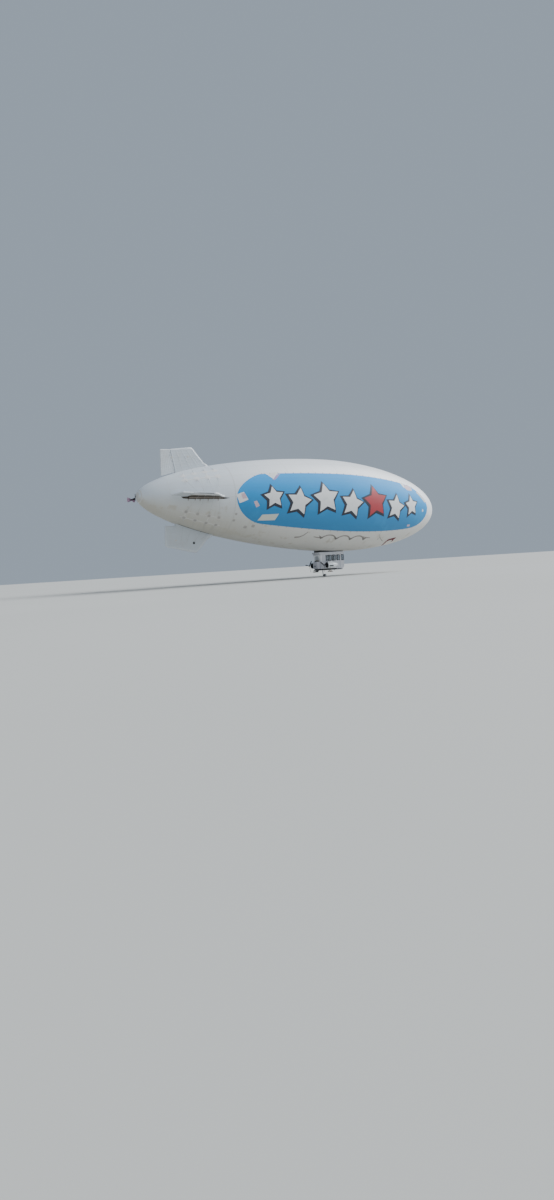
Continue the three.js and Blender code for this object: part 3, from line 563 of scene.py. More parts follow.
# Gusset and seam tape are darkened partly as painted shade of the drawn-in curtain seams.
GUSSET_CLOTH_AND_SHADE = PrintedCloth("gusset_shade_cloth", (0.20, 0.185, 0.17), (0.30, 0.275, 0.25), 0.75)
SEAM_TAPE_AND_SHADE = PrintedCloth("seam_tape", (0.29, 0.265, 0.24), (0.38, 0.35, 0.32), 0.6)
TAB_CLOTH = PrintedCloth("tab_cloth", (0.42, 0.39, 0.37), (0.52, 0.49, 0.46), 0.6)
RED_WEBBING = PrintedCloth("red_webbing", (0.13, 0.008, 0.020), (0.17, 0.02, 0.03), 0.75)
FIN_CLOTH = FinCloth("fin_cloth", (0.53, 0.575, 0.61))
SHADED_UNDERSIDE_CLOTH = ShadedUndersideCloth("painted_shade_underside_cloth", (0.70, 0.71, 0.71))
RUDDER_CLOTH = FinCloth("rudder_cloth", (0.57, 0.61, 0.64))
FIN_EDGE = Paint("fin_edge_paint", (0.60, 0.635, 0.665), dirty=0.3)
# The cabin's white paint as two copies: darkened as painted shade on the shells, gutters, door and leg, and
# lightened as painted light on the rear wall.
SHADED_SHELL_PAINT = Paint("painted_shade_shell_paint", (0.62, 0.63, 0.675), dirty=0.28)
LIGHTENED_REAR_PAINT = Paint("painted_light_rear_wall_paint", (0.87, 0.88, 0.92), dirty=0.28)
NACELLE_PAINT = Paint("nacelle_paint", (0.90, 0.93, 0.96), rough=0.22, dirty=0.14, coat=0.6)
BOX_PAINT = Paint("box_paint", (0.56, 0.55, 0.61), dirty=0.35)
DARK_PAINT = Paint("dark_paint", (0.045, 0.045, 0.05), (0.16, 0.14, 0.12), 0.55, 0.5)
# Near-black cloth, used also as painted shade: the gap at the roof collar, the cowl's slot and louvres, and
# the inside of the cowl.
DARK_CLOTH_AND_SHADE = Paint("dark_cloth_and_painted_shade", (0.028, 0.030, 0.036), (0.09, 0.085, 0.08), 0.8, 0.4, coat=0.0)
OLIVE_PAINT = Paint("olive_paint", (0.20, 0.17, 0.10), (0.09, 0.08, 0.06), 0.5, 0.4)
PANE_WHITE = Acrylic("clouded_acrylic", (0.52, 0.54, 0.57), 0.90)
LINING = Paint("cabin_lining", (0.46, 0.46, 0.45), rough=0.8, coat=0.0)
STEEL = BareMetal("steel")
ALLOY = BareMetal("alloy", (0.66, 0.67, 0.69), 0.32)
HOT_STEEL = BareMetal("exhaust_steel", (0.20, 0.15, 0.12), 0.5)
BLADE = Paint("blade_composite", (0.016, 0.014, 0.020), (0.07, 0.06, 0.06), 0.35, 0.4)
TYRE_RUBBER = Rubber("tyre_rubber")
SEAL_RUBBER = Rubber("seal_rubber", (0.04, 0.04, 0.042), (0.09, 0.085, 0.08))
ACRYLIC = Acrylic("acrylic")
SEAT_CLOTH = Woven("seat_cloth")
MAUVE_RIBBON = PrintedCloth("mauve_ribbon", (0.27, 0.175, 0.245), (0.36, 0.27, 0.33), 0.8)
DARK_RIBBON = PrintedCloth("dark_ribbon", (0.025, 0.022, 0.028), (0.06, 0.055, 0.06), 0.85)
EDGE_WHITE = PrintedCloth("edge_white", (0.92, 0.93, 0.94), (0.80, 0.80, 0.80), 0.35)
HULL_TAPE = PrintedCloth("hull_tape", (0.63, 0.62, 0.59), (0.57, 0.55, 0.51), 0.55)
# Painted shade with stains: the dark strip under the level fins' roots, and the lower fin's root tapes as a
# painted shadow line.
ROOT_SHADE_CLOTH = PrintedCloth("root_fairing_cloth", (0.070, 0.060, 0.050), (0.19, 0.165, 0.14), 0.85)
STREAK_CLOTH = PrintedCloth("root_streak", (0.30, 0.26, 0.22), (0.42, 0.39, 0.35), 0.8)
WIRE = WireRope("wire_rope")
LAMP_GLASS = Acrylic("lamp_glass", (0.75, 0.78, 0.80), 0.75)
FLOOR = Ground("studio_floor")


# Meshes


class Form:
    """Grids of points about an origin, gathered until they become one mesh."""

    def __init__(self, origin: Point = ORIGIN) -> None:
        """Starts with nothing."""
        self.origin = np.array(origin)
        self.points: list[Array] = []
        self.faces: list[Array] = []
        self.maps: list[Array] = []
        self.count = 0

    def grid(self, points: Array, surface: Array | None = None) -> "Form":
        """Adds a grid of points as quads.

        Args:
            points: Rows by columns by 3. A closed grid repeats its first row or column at the end.
            surface: Rows by columns by 2 for the surface map, or None for the grid's own two parameters.

        Returns:
            This form.
        """
        rows, columns = points.shape[:2]
        if surface is None:
            u, v = np.meshgrid(np.linspace(0, 1, rows), np.linspace(0, 1, columns), indexing="ij")
            surface = np.stack((u, v), axis=-1)
        self.points.append(points.reshape(-1, 3) + self.origin)
        self.faces.append(quads(rows, columns) + self.count)
        self.maps.append(surface.reshape(-1, 2))
        self.count += rows * columns
        return self

    def turned(self, profile: Array, centre: Array, axis: Array, sides: int = 32) -> "Form":
        """A profile of (distance along the axis, radius) carried round that axis."""
        along, across, out = basis(np.asarray(axis, float))
        angle = np.linspace(0, 2 * np.pi, sides + 1)
        ring = np.cos(angle)[:, None] * across + np.sin(angle)[:, None] * out
        profile = np.asarray(profile, float)
        points = np.asarray(centre, float) + profile[:, None, :1] * along + profile[:, None, 1:] * ring
        return self.grid(points)

    def bolt(self, foot: Array, axis: Array, radius: float, height: float, sunk: float = 0.002) -> "Form":
        """A hexagonal bolt head with a crown of 1 mm, its foot sunk a little."""
        profile = [[-sunk, 0], [-sunk, radius], [height, radius], [height + 0.001, 0]]
        return self.turned(profile, foot, axis, 6)

    def rod(
        self, low: float, high: float, radius: float, centre: Array, axis: Array, sides: int = 32
    ) -> "Form":
        """A plain round rod between two distances along an axis."""
        return self.turned([[low, 0], [low, radius], [high, radius], [high, 0]], centre, axis, sides)

    def sleeve(self, profile: Array, centre: Array, axis: Array, sides: int = 32) -> "Form":
        """A hollow turned piece: its profile goes back to where it starts."""
        return self.turned([*profile, profile[0]], centre, axis, sides)

    def tube(self, path: Array, radius: float | Array, sides: int = 10, closed: bool = False) -> "Form":
        """A round section carried along a path.

        Each section stands across the path, turned from one fixed direction that the path never follows. An
        open tube is closed to a point at each end.

        Args:
            path: Points of the centreline.
            radius: One radius, or one for each point.
            sides: Sides of the section.
            closed: True if the path returns to its start.

        Returns:
            This form.
        """
        path = np.asarray(path, float)
        if closed:
            ahead, behind = np.roll(path, -1, axis=0), np.roll(path, 1, axis=0)
        else:
            ahead, behind = np.vstack((path[1:], path[-1:])), np.vstack((path[:1], path[:-1]))
        along = ahead - behind
        along /= np.linalg.norm(along, axis=1)[:, None]
        steady = np.eye(3)[np.argmin(np.abs(along).max(axis=0))]
        across = np.cross(along, steady)
        across /= np.linalg.norm(across, axis=1)[:, None]
        out = np.cross(along, across)
        angle = np.linspace(0, 2 * np.pi, sides + 1)[:, None]
        size = np.broadcast_to(radius, len(path))[:, None, None]
        rings = path[:, None] + size * (across[:, None] * np.cos(angle) + out[:, None] * np.sin(angle))
        if closed:
            rings = np.concatenate((rings, rings[:1]))
        else:
            ends = [np.repeat(path[i][None, None], sides + 1, axis=1) for i in (0, -1)]
            rings = np.concatenate((ends[0], rings, ends[1]))
        return self.grid(rings)

    def loft(self, loops: Iterable[Array], capped: bool = True) -> "Form":
        """Loops of equal length joined in their order, each closed on itself.

        Args:
            loops: The loops' points; where they aren't capped, the last loop joins the first.
            capped: True to close both ends to the loops' centres.

        Returns:
            This form.
        """
        stack = np.stack([np.vstack((loop, loop[:1])) for loop in loops])
        if capped:
            first, last = (np.broadcast_to(stack[i].mean(axis=0), stack[i].shape) for i in (0, -1))
            stack = np.concatenate((first[None], stack, last[None]))
        else:
            stack = np.concatenate((stack, stack[:1]))
        return self.grid(stack)

    def block(self, low: Point, high: Point, soft: float) -> "Form":
        """A block between two corners with softened edges.

        Each level is a superellipse, |x/a|^p + |y/b|^p = 1 with a high p, drawn in near top and bottom.

        Args:
            low: Lowest corner.
            high: Highest corner.
            soft: How far the top and bottom edges are drawn in.

        Returns:
            This form.
        """
        low, high = np.asarray(low, float), np.asarray(high, float)
        centre, half = (low + high) / 2, (high - low) / 2
        flat = rounded(half[0], half[1], 24, power=14.0)
        inner = rounded(half[0] - soft, half[1] - soft, 24, power=14.0)
        heights = (-half[2], -half[2] + soft, half[2] - soft, half[2])
        loops = [
            np.column_stack((loop, np.full(len(loop), z))) + centre
            for loop, z in zip((inner, flat, flat, inner), heights, strict=True)
        ]
        return self.loft(loops)

    def made(
        self, name: str, finish: Finish, slot: str = "", body: Body = Body.AIRFRAME, sharp: float = 38.0
    ) -> bpy.types.Object:
        """Makes the piece: doubles are merged, faces turned outwards, and edges over an angle kept sharp.

        Args:
            name: The piece's name.
            finish: Its finish.
            slot: The record's slot for its finish, or nothing; not used.
            body: The body it rides on.
            sharp: The angle in degrees.

        Returns:
            The new object, at the origin with its place in its mesh.
        """
        mesh = bpy.data.meshes.new(name)
        faces = np.concatenate(self.faces)
        mesh.vertices.add(self.count)
        mesh.vertices.foreach_set("co", np.concatenate(self.points).astype(np.float32).ravel())
        mesh.loops.add(faces.size)
        mesh.loops.foreach_set("vertex_index", faces.astype(np.int32).ravel())
        mesh.polygons.add(len(faces))
        mesh.polygons.foreach_set("loop_start", np.arange(0, faces.size, 4, dtype=np.int32))
        layer = mesh.uv_layers.new(name="surface")
        layer.data.foreach_set("uv", np.concatenate(self.maps)[faces.ravel()].astype(np.float32).ravel())
        mesh.update(calc_edges=True)
        work = bmesh.new()
        work.from_mesh(mesh)
        bmesh.ops.remove_doubles(work, verts=work.verts, dist=1e-5)
        bmesh.ops.recalc_face_normals(work, faces=work.faces)
        work.to_mesh(mesh)
        work.free()
        mesh.shade_smooth()
        mesh.set_sharp_from_angle(angle=math.radians(sharp))
        mesh.materials.append(finish.material())
        obj = added(name, mesh)
        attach(obj, body.value)
        LOG.info("%s: %d faces", name, len(mesh.polygons))
        return obj


def added(name: str, data: bpy.types.ID) -> bpy.types.Object:
    """A new object in the scene."""
    obj = bpy.data.objects.new(name, data)
    bpy.context.scene.collection.objects.link(obj)
    return obj


def quads(rows: int, columns: int) -> Array:
    """The corners' numbers of each quad in a grid of points."""
    index = np.arange(rows * columns).reshape(rows, columns)
    return np.stack((index[:-1, :-1], index[1:, :-1], index[1:, 1:], index[:-1, 1:]), axis=-1).reshape(-1, 4)


def basis(axis: Array) -> tuple[Array, Array, Array]:
    """A unit axis and two directions across it."""
    along = axis / np.linalg.norm(axis)
    across = np.cross(along, np.eye(3)[np.argmin(np.abs(along))])
    across /= np.linalg.norm(across)
    return along, across, np.cross(along, across)


def rounded(half_width: float, half_height: float, count: int, power: float = 6.0) -> Array:
    """A rounded rectangle as the superellipse |x/a|^p + |y/b|^p = 1."""
    angle = np.linspace(0, 2 * np.pi, count, endpoint=False) + np.pi / count
    c, s = np.cos(angle), np.sin(angle)
    size = (np.abs(c) ** power + np.abs(s) ** power) ** (-1 / power)
    return np.column_stack((half_width * size * c, half_height * size * s))


def circle(count: int, phase: float = 0.0) -> list[Pair]:
    """The cosine and sine of each of so many evenly spaced angles."""
    return [(math.cos(a), math.sin(a)) for a in np.arange(count) * 2 * np.pi / count + phase]


def dress(finish: Finish, *nodes: str) -> None:
    """Gives frame nodes a finish."""
    for node in nodes:
        obj = frame["nodes"][node]
        for place in obj.material_slots:
            place.material = finish.material()
        if not obj.material_slots:
            obj.data.materials.append(finish.material())


# Hull


@dataclass(frozen=True)
class HullForm:
    """The hull of revolution: half an ellipse ahead of its widest station, a tapering tail behind it."""

    nose: float = 17.6
    stern: float = -20.8
    widest: float = 1.88
    radius: float = 5.03
    tail_power: float = 1.63
    tail_root: float = 0.56
    pitch: float = math.radians(2.6)
    nose_ring: float = 17.53
    stern_ring: float = -20.70
    wall: float = 0.010

    def girth(self, station: Array) -> Array:
        """The hull's radius at stations along its axis."""
        station = np.asarray(station, float)
        ahead = np.clip((station - self.widest) / (self.nose - self.widest), 0, 1)
        behind = np.clip((self.widest - station) / (self.widest - self.stern), 0, 1)
        tail = (1 - behind**self.tail_power) ** self.tail_root
        return self.radius * np.where(station >= self.widest, np.sqrt(1 - ahead**2), tail)

    def place(self, points: Array) -> Array:
        """Points of the hull's own frame in the row frame: turned nose-down about Y."""
        c, s = math.cos(self.pitch), math.sin(self.pitch)
        return np.asarray(points, float) @ np.array([[c, 0, -s], [0, 1, 0], [s, 0, c]])

    def skin(self, station: Array, angle: Array, lift: Array | float = 0.0) -> Array:
        """Points on or off the skin.

        Args:
            station: Stations along the axis.
            angle: Radians up from straight out to starboard; past a half turn it is to port.
            lift: Distance out along the skin's normal.

        Returns:
            Points in the row frame.
        """
        station, angle, lift = np.broadcast_arrays(station, angle, lift)
        step = 1e-3
        slope = (self.girth(station + step) - self.girth(station - step)) / (2 * step)
        size = np.hypot(1, slope)
        r = self.girth(station) + lift / size
        x = station - lift * slope / size
        return self.place(np.stack((x, -r * np.cos(angle), r * np.sin(angle)), axis=-1))

    def normal(self, station: Array, angle: Array) -> Array:
        """The way straight out of the skin."""
        return self.skin(station, angle, 1.0) - self.skin(station, angle)

    def mirrored(self, angle: Array, side: Side) -> Array:
        """An angle of the starboard flank as its like on a side."""
        return angle if side is Side.STARBOARD else np.pi - angle


HULL = HullForm()


@dataclass
class Envelope:
    """The fabric shell: both walls in one closed surface, drawn in along the scalloped curtain seams."""

    columns: int = 192
    nose_rows: int = 84
    tail_rows: int = 116
    inner_rows: int = 44
    seam_angle: float = math.radians(-45.0)
    seam_dip: float = math.radians(-5.4)
    seam_pitch: float = 1.94
    seam_cusp: float = 0.60
    seam_from: float = -1.34
    seam_to: float = 4.48
    seam_depth: float = 0.012
    seam_width: float = 0.32
    tape_width: float = 0.17
    tape_lift: float = 0.013
    gusset_half: float = 0.42
    gusset_width: float = 0.30
    gusset_lift: float = 0.017
    end_bands: tuple[Band, ...] = (
        (((-4.55, -54.0), (-4.04, -52.4), (-3.68, -49.2), (-3.33, -42.9)), (0.26, 0.09), 0.008),
        (((-2.35, -49.6), (-1.90, -50.3), (-1.34, -50.4)), (0.10, 0.20), 0.010),
        (((3.90, -46.0), (4.45, -47.4), (5.35, -48.7)), (0.16, 0.10), 0.010),
    )

    def stations(self, nose_rows: int, tail_rows: int) -> Array:
        """Stations from ring to ring, closer towards both ends: x = w - L sin(a) and x = w + L sin(a)."""
        tail = HULL.widest - HULL.stern
        nose = HULL.nose - HULL.widest
        tail_end = math.asin((HULL.widest - HULL.stern_ring) / tail)
        nose_end = math.asin((HULL.nose_ring - HULL.widest) / nose)
        behind = HULL.widest - tail * np.sin(np.linspace(tail_end, 0, tail_rows, endpoint=False))
        ahead = HULL.widest + nose * np.sin(np.linspace(0, nose_end, nose_rows))
        return np.concatenate((behind, ahead))

    def seam(self, station: Array) -> Array:
        """The scalloped seam's angle: arches between cusps, base + dip cusp(x)^1.2."""
        return self.seam_angle + self.seam_dip * self.cusp(station) ** 1.2

    def cusp(self, station: Array) -> Array:
        """1 at each of the seam's cusps and 0 at the crown of each arch: 1 - |sin(pi (x - cusp) / pitch)|."""
        return 1 - np.abs(np.sin(np.pi * (station - self.seam_cusp) / self.seam_pitch))

    def draw(self, station: Array, angle: Array) -> Array:
        """How far the skin is drawn in by the seams: a groove exp(-(d / width)^2), deeper at the cusps."""
        low = np.where(np.cos(angle) >= 0, angle, np.pi - angle)
        distance = (low - self.seam(station)) * HULL.girth(station)
        run_in = np.minimum(station - self.seam_from, self.seam_to - station) / 0.8
        depth = self.seam_depth * (0.6 + 0.9 * self.cusp(station)) * np.clip(run_in, 0, 1)
        return -depth * np.exp(-((distance / self.seam_width) ** 2))

    def build(self) -> None:
        """The shell, with the surface map along the hull and round it from the keel."""
        turn = np.linspace(-0.5 * np.pi, 1.5 * np.pi, self.columns + 1)
        outer = self.stations(self.nose_rows, self.tail_rows)
        inner = self.stations(self.inner_rows // 2, self.inner_rows // 2)[::-1]
        rows = []
        for stations, lift in ((outer, 0.0), (inner, -HULL.wall)):
            x, a = np.meshgrid(stations, turn, indexing="ij")
            rows.append(HULL.skin(x, a, self.draw(x, a) + lift))
        points = np.concatenate((*rows, rows[0][:1]))
        stations = np.concatenate((outer, inner, outer[:1]))
        along = (stations - HULL.stern) / (HULL.nose - HULL.stern)
        around = (turn + 0.5 * np.pi) / (2 * np.pi)
        surface = np.stack(np.meshgrid(along, around, indexing="ij"), axis=-1)
        skin = Form().grid(points, surface).made("envelope_skin", HULL_CLOTH, "skin", sharp=60)
        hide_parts("envelope")
        self.seam_tapes()

    def seam_tapes(self) -> None:
        """A narrow tape on each scalloped seam, and a dark gusset at each cusp: real cloth, darkened partly
        as painted shade of the drawn-in seam.
        """
        tape, gusset = Form(), Form()
        station = np.linspace(self.seam_from, self.seam_to, 97)
        for side in Side:
            angle = HULL.mirrored(self.seam(station), side)
            tape.grid(strip(station, angle, self.tape_width, self.tape_lift, self.draw(station, angle)))
            for band in self.end_bands:
                lay_band(tape, side, *band)
            for cusp in self.seam_cusp + self.seam_pitch * np.arange(-1, 3):
                span = np.linspace(cusp - self.gusset_half, cusp + self.gusset_half, 13)
                line = self.seam(span) - 0.008
                width = 0.04 + self.gusset_width * (1 - np.abs(span - cusp) / self.gusset_half) ** 1.5
                angle = HULL.mirrored(line, side)
                gusset.grid(strip(span, angle, width, self.gusset_lift, self.draw(span, angle)))
        tape.made("curtain_seam_tapes", SEAM_TAPE_AND_SHADE)
        gusset.made("curtain_gussets", GUSSET_CLOTH_AND_SHADE)


def strip(station: Array, angle: Array, width: Array | float, lift: float, base: Array | float = 0) -> Array:
    """A closed strip of cloth along a line on the hull.

    Its section is a flat loop of six points: down on the skin at both edges, raised between them.

    Args:
        station: Stations of the line.
        angle: Its angles round the hull.
        width: Its width.
        lift: Its thickness.
        base: What the skin under it is drawn in or out by.

    Returns:
        Points of a grid that is closed at its ends.
    """
    across = np.array([-0.5, -0.42, 0.42, 0.5, 0.42, -0.42, -0.5])
    height = np.array([0.1, 1.0, 1.0, 0.1, -0.3, -0.3, 0.1])
    out = HULL.normal(station, angle)
    side = np.cross(np.gradient(HULL.skin(station, angle), axis=0), out)
    side /= np.linalg.norm(side, axis=1)[:, None]
    width = np.broadcast_to(width, len(station))[:, None, None]
    offset = side[:, None] * across[:, None] * width + out[:, None] * height[:, None] * lift
    loops = HULL.skin(station, angle, base)[:, None] + offset
    centres = [np.broadcast_to(loops[i].mean(axis=0), loops[i].shape)[None] for i in (0, -1)]
    return np.concatenate((centres[0], loops, centres[1]))


def lay_band(form: Form, side: Side, route: Route, width: Pair, lift: float) -> None:
    """Adds a strip along a route of (station, degrees), its width changing evenly from end to end."""
    x, degrees = np.array(route).T
    share = np.linspace(0, len(route) - 1, 8 * len(route))
    station, angle = (np.interp(share, np.arange(len(route)), a) for a in (x, np.radians(degrees)))
    form.grid(strip(station, HULL.mirrored(angle, side), np.linspace(*width, len(share)), lift))


def lay_patch(form: Form, side: Side, corners: Route, lift: float, count: int = 8, rings: int = 8) -> None:
    """Adds a patch with straight edges between corners (station, degrees), each edge of so many points."""
    x, degrees = np.array(corners).T
    form.grid(hull_patch(dense(np.column_stack((x, np.radians(degrees))), count), side, lift, rings))


def hull_patch(outline: Array, side: Side, lift: float, rings: int = 8) -> Array:
    """A closed patch of cloth on the hull, as rings from its centre out to its outline and back beneath.

    Args:
        outline: Points (station, angle in radians on the starboard flank), going round once.
        side: The flank it is on.
        lift: Height of its top over the skin; it is 2 mm thick.
        rings: Rings from the centre to the outline.

    Returns:
        Points of a grid that closes on itself.
    """
    outline = np.vstack((outline, outline[:1]))
    centre = outline[:-1].mean(axis=0)
    share = np.linspace(0, 1, rings)[:, None, None]
    flat = centre + share * (outline - centre)
    x, a = flat[..., 0], HULL.mirrored(flat[..., 1], side)
    top = HULL.skin(x, a, lift)
    below = HULL.skin(x, a, lift - 0.002)[::-1]
    return np.concatenate((top, below))


def dense(corners: Array, count: int) -> Array:
    """Corners joined by straight edges of equally many points."""
    corners = np.asarray(corners, float)
    following = np.roll(corners, -1, axis=0)
    share = np.linspace(0, 1, count, endpoint=False)[None, :, None]
    return (corners[:, None] + share * (following - corners)[:, None]).reshape(-1, 2)


@dataclass
class FlankPanel:
    """The blue panel on one flank, with generic stars in a line across it, and its tears and patches."""

    side: Side
    left: float = -11.88
    right: float = 14.52
    middle: float = math.radians(-1.3)
    upper: float = math.radians(36.8)
    lower: float = math.radians(36.7)
    rows: int = 170
    columns: int = 40
    lift: float = 0.006
    left_end: float = 2.88
    upper_ends: Point = (3.4, 1.26, 1.45)
    lower_ends: Point = (4.02, 1.77, 3.2)
    tab_pitch: float = 0.9
    tab_half: Pair = (0.05, 0.011)
    ink_width: float = 0.36
    ink_shift: Pair = (-0.10, -0.8)
    notches: Pair = (0.52, 0.56)
    leans: Pair = (-8.0, 9.0)
    stars: tuple[Point, ...] = (
        (-7.95, 1.0, 1.10), (-5.10, -3.5, 1.42), (-1.85, 2.0, 1.60), (1.50, -3.0, 1.45), (4.85, 1.0, 1.75),
        (8.10, -4.0, 1.40), (10.95, 0.0, 1.15),
    )
    red_star: int = 4
    nose_patch: Route = (
        (10.42, 35.3), (11.15, 34.8), (11.72, 31.6), (11.50, 25.8), (10.60, 24.4), (10.25, 27.5),
    )
    nose_rim: Route = (
        (12.60, 27.8), (13.12, 24.1), (13.75, 17.6), (14.15, 11.2),
        (13.85, 10.2), (13.35, 16.5), (12.75, 22.5), (12.40, 25.8),
    )
    nose_tape: Route = ((12.50, 29.0), (13.10, 25.2), (13.78, 18.4), (14.20, 11.6))

    def edges(self, station: Array) -> tuple[Array, Array]:
        """The panel's lower and upper edge: straight, then edge sqrt(1 - t^p) over each rounded end.

        An edge's ends are the length of the right one and the powers of the left and right one.
        """
        def end(start: float, length: float, p: float) -> Array:
            """What is left of the edge's angle so far into an end."""
            t = np.clip((station - start) / length, 0, 1)
            return np.sqrt(1 - t**p)

        left = self.left + self.left_end
        bottom, top = (
            size * end(left, -self.left_end, p) * end(self.right - reach, reach, q)
            for size, (reach, p, q) in ((self.lower, self.lower_ends), (self.upper, self.upper_ends))
        )
        return self.middle - bottom, self.middle + top

    def build(self) -> None:
        """The panel, the tabs along its edges and what lies on it."""
        turn = np.linspace(0, np.pi, self.rows)
        station = (self.left + self.right) / 2 - (self.right - self.left) / 2 * np.cos(turn)
        low, high = self.edges(station)
        share = np.linspace(0, 1, self.columns)
        angle = low[:, None] + (high - low)[:, None] * share
        x = np.broadcast_to(station[:, None], angle.shape)
        flank = HULL.mirrored(angle, self.side)
        top = HULL.skin(x, flank, self.lift)
        below = HULL.skin(x, flank, 0.001)[:, ::-1]
        along = (x - self.left) / (self.right - self.left)
        up = (angle - self.middle) / (2 * self.upper) + 0.5
        surface = np.stack((along, up), axis=-1)
        points = np.concatenate((top, below, top[:, :1]), axis=1)
        surface = np.concatenate((surface, surface[:, ::-1], surface[:, :1]), axis=1)
        Form().grid(points, surface).made(f"flank_panel_{self.side.word}", PANEL_CLOTH, "skin", sharp=50)
        self.lacing(station, low, high)
        self.draw_stars()
        self.wear()

    def lacing(self, station: Array, low: Array, high: Array) -> None:
        """Small dark tabs that hold the panel's upper and lower edge, evenly spaced."""
        tabs = Form()
        for edge, way in ((high, 1), (low, -1)):
            for x in np.arange(self.left + 2.2, self.right - 1.6, self.tab_pitch):
                a = np.interp(x, station, edge) + way * 0.010
                corners = np.array([(-1, -1), (1, -1), (1, 1), (-1, 1)]) * self.tab_half + (x, a)
                tabs.grid(hull_patch(dense(corners, 3), self.side, 0.010, rings=3))
        tabs.made(f"lacing_tabs_{self.side.word}", TAB_CLOTH)

    @staticmethod
    def star(radius: float, inset: float, turn: float, count: int = 120) -> Array:
        """A five-pointed star.

        Between a point at radius R and a notch at radius r, a tenth of a turn further on, the edge is the
        straight line whose polar form is R r sin(36) / (R sin(t) + r sin(36 - t)).

        Args:
            radius: Radius of its points.
            inset: Radius of its notches, as a share of the points'.
            turn: How far it is turned, in radians.
            count: Points of its outline, a multiple of 10.

        Returns:
            Its outline in metres, one point up.
        """
        around = np.linspace(0, 2 * np.pi, count, endpoint=False)
        tenth = math.radians(36)
        t = np.abs((around + tenth) % (2 * tenth) - tenth)
        notch = radius * inset
        r = radius * notch * math.sin(tenth) / (radius * np.sin(t) + notch * np.sin(tenth - t))
        return np.column_stack((r * np.sin(around + turn), r * np.cos(around + turn)))

    def on_hull(self, flat: Array, x: float, degrees: float) -> Array:
        """A flat outline laid on the hull about a station and an angle."""
        shift = flat[:, 1] / float(HULL.girth(x))
        return np.column_stack((x + flat[:, 0], math.radians(degrees) + shift))

    def draw_stars(self) -> None:
        """Each star's thick dark outline, and its fill a little higher."""
        outline, white, red = Form(), Form(), Form()
        for i, (x, degrees, size) in enumerate(self.stars):
            turn = math.radians(self.leans[i % 2])
            rim = self.star(size + self.ink_width, self.notches[1], turn)
            rim = self.on_hull(rim, x + self.ink_shift[0], degrees + self.ink_shift[1])
            outline.grid(hull_patch(rim, self.side, 0.009))
            shape = self.on_hull(self.star(size, self.notches[0], turn), x, degrees)
            (red if i == self.red_star else white).grid(hull_patch(shape, self.side, 0.012))
        word = self.side.word
        outline.made(f"star_outlines_{word}", INK)
        white.made(f"white_stars_{word}", WHITE_PRINT)
        red.made(f"red_star_{word}", RED_PRINT)

    def wear(self) -> None:
        """The places where the panel is torn or patched, in another layout on the port flank."""
        shift = 0.0 if self.side is Side.STARBOARD else 3.4
        torn, mauve, pink, cream = (Form() for _ in range(4))
        for form, corners, lift, move in (
            (torn, ((-8.55, 37.6), (-6.85, 37.6), (-7.62, 25.0)), 0.009, shift),
            (mauve, ((-7.25, 33.0), (-6.70, 35.4), (-7.50, 25.6), (-7.85, 24.6)), 0.011, shift),
            (torn, ((-11.95, 3.0), (-11.17, 7.5), (-10.72, -3.9), (-11.60, -9.8)), 0.009, 0.0),
            (pink, ((-11.45, 4.2), (-11.10, 5.9), (-10.85, -2.0), (-11.30, -3.0)), 0.011, 0.0),
            (pink, ((-10.15, -6.4), (-9.83, -4.8), (-9.50, -11.6), (-9.85, -14.6)), 0.009, 0.0),
            (cream, ((-9.45, -33.4), (-9.10, -24.0), (-7.30, -20.8), (-7.62, -30.2)), 0.009, shift * 0.6),
            (pink, self.nose_patch, 0.011, -shift),
            (torn, ((9.72, 35.7), (10.32, 35.7), (10.24, 28.0), (9.98, 28.2)), 0.010, -shift),
            (cream, self.nose_rim, 0.011, 0.0),
            (pink, ((10.7, -30.6), (11.2, -30.9), (11.25, -34.4), (10.75, -34.2)), 0.008, -shift),
            (torn, ((13.20, -4.2), (13.52, -4.9), (13.50, -9.2), (13.22, -8.6)), 0.008, 0.0),
        ):
            lay_patch(form, self.side, tuple((x + move, a) for x, a in corners), lift)
        lay_band(mauve, self.side, self.nose_tape, (0.09, 0.06), 0.012)
        word = self.side.word
        torn.made(f"torn_places_{word}", WHITE_PRINT)
        mauve.made(f"mauve_edge_{word}", MAUVE_PATCH)
        pink.made(f"pink_patches_{word}", PINK_PATCH)
        cream.made(f"cream_patches_{word}", CREAM_PATCH)


# Tail


class Quarter(Named):
    """The four fins, as degrees about the hull's axis from upright over to starboard."""

    UPPER = 0
    STARBOARD = 90
    LOWER = 180
    PORT = 270

    def place(self, points: Array) -> Array:
        """Points of the upright fin (station, distance to port, radius) in the row frame."""
        turn = math.radians(self.value)
        c, s = math.cos(turn), math.sin(turn)
        x, y, z = np.moveaxis(np.asarray(points, float), -1, 0)
        return HULL.place(np.stack((x, y * c - z * s, y * s + z * c), axis=-1))

    @property
    def next(self) -> "Quarter":
        """The fin a quarter turn further on."""
        return Quarter((self.value + 90) % 360)

    @property
    def angle(self) -> float:
        """The fin's angle round the hull, in radians up from starboard."""
        return math.radians(90 - self.value)

    @property
    def moving(self) -> Body:
        """The rudder or elevator behind the fin."""
        return Body.RUDDER if self is Quarter.UPPER else Body[f"ELEVATOR_{self.name}"]


NO_NOTCH = (-99.0, 0.0)


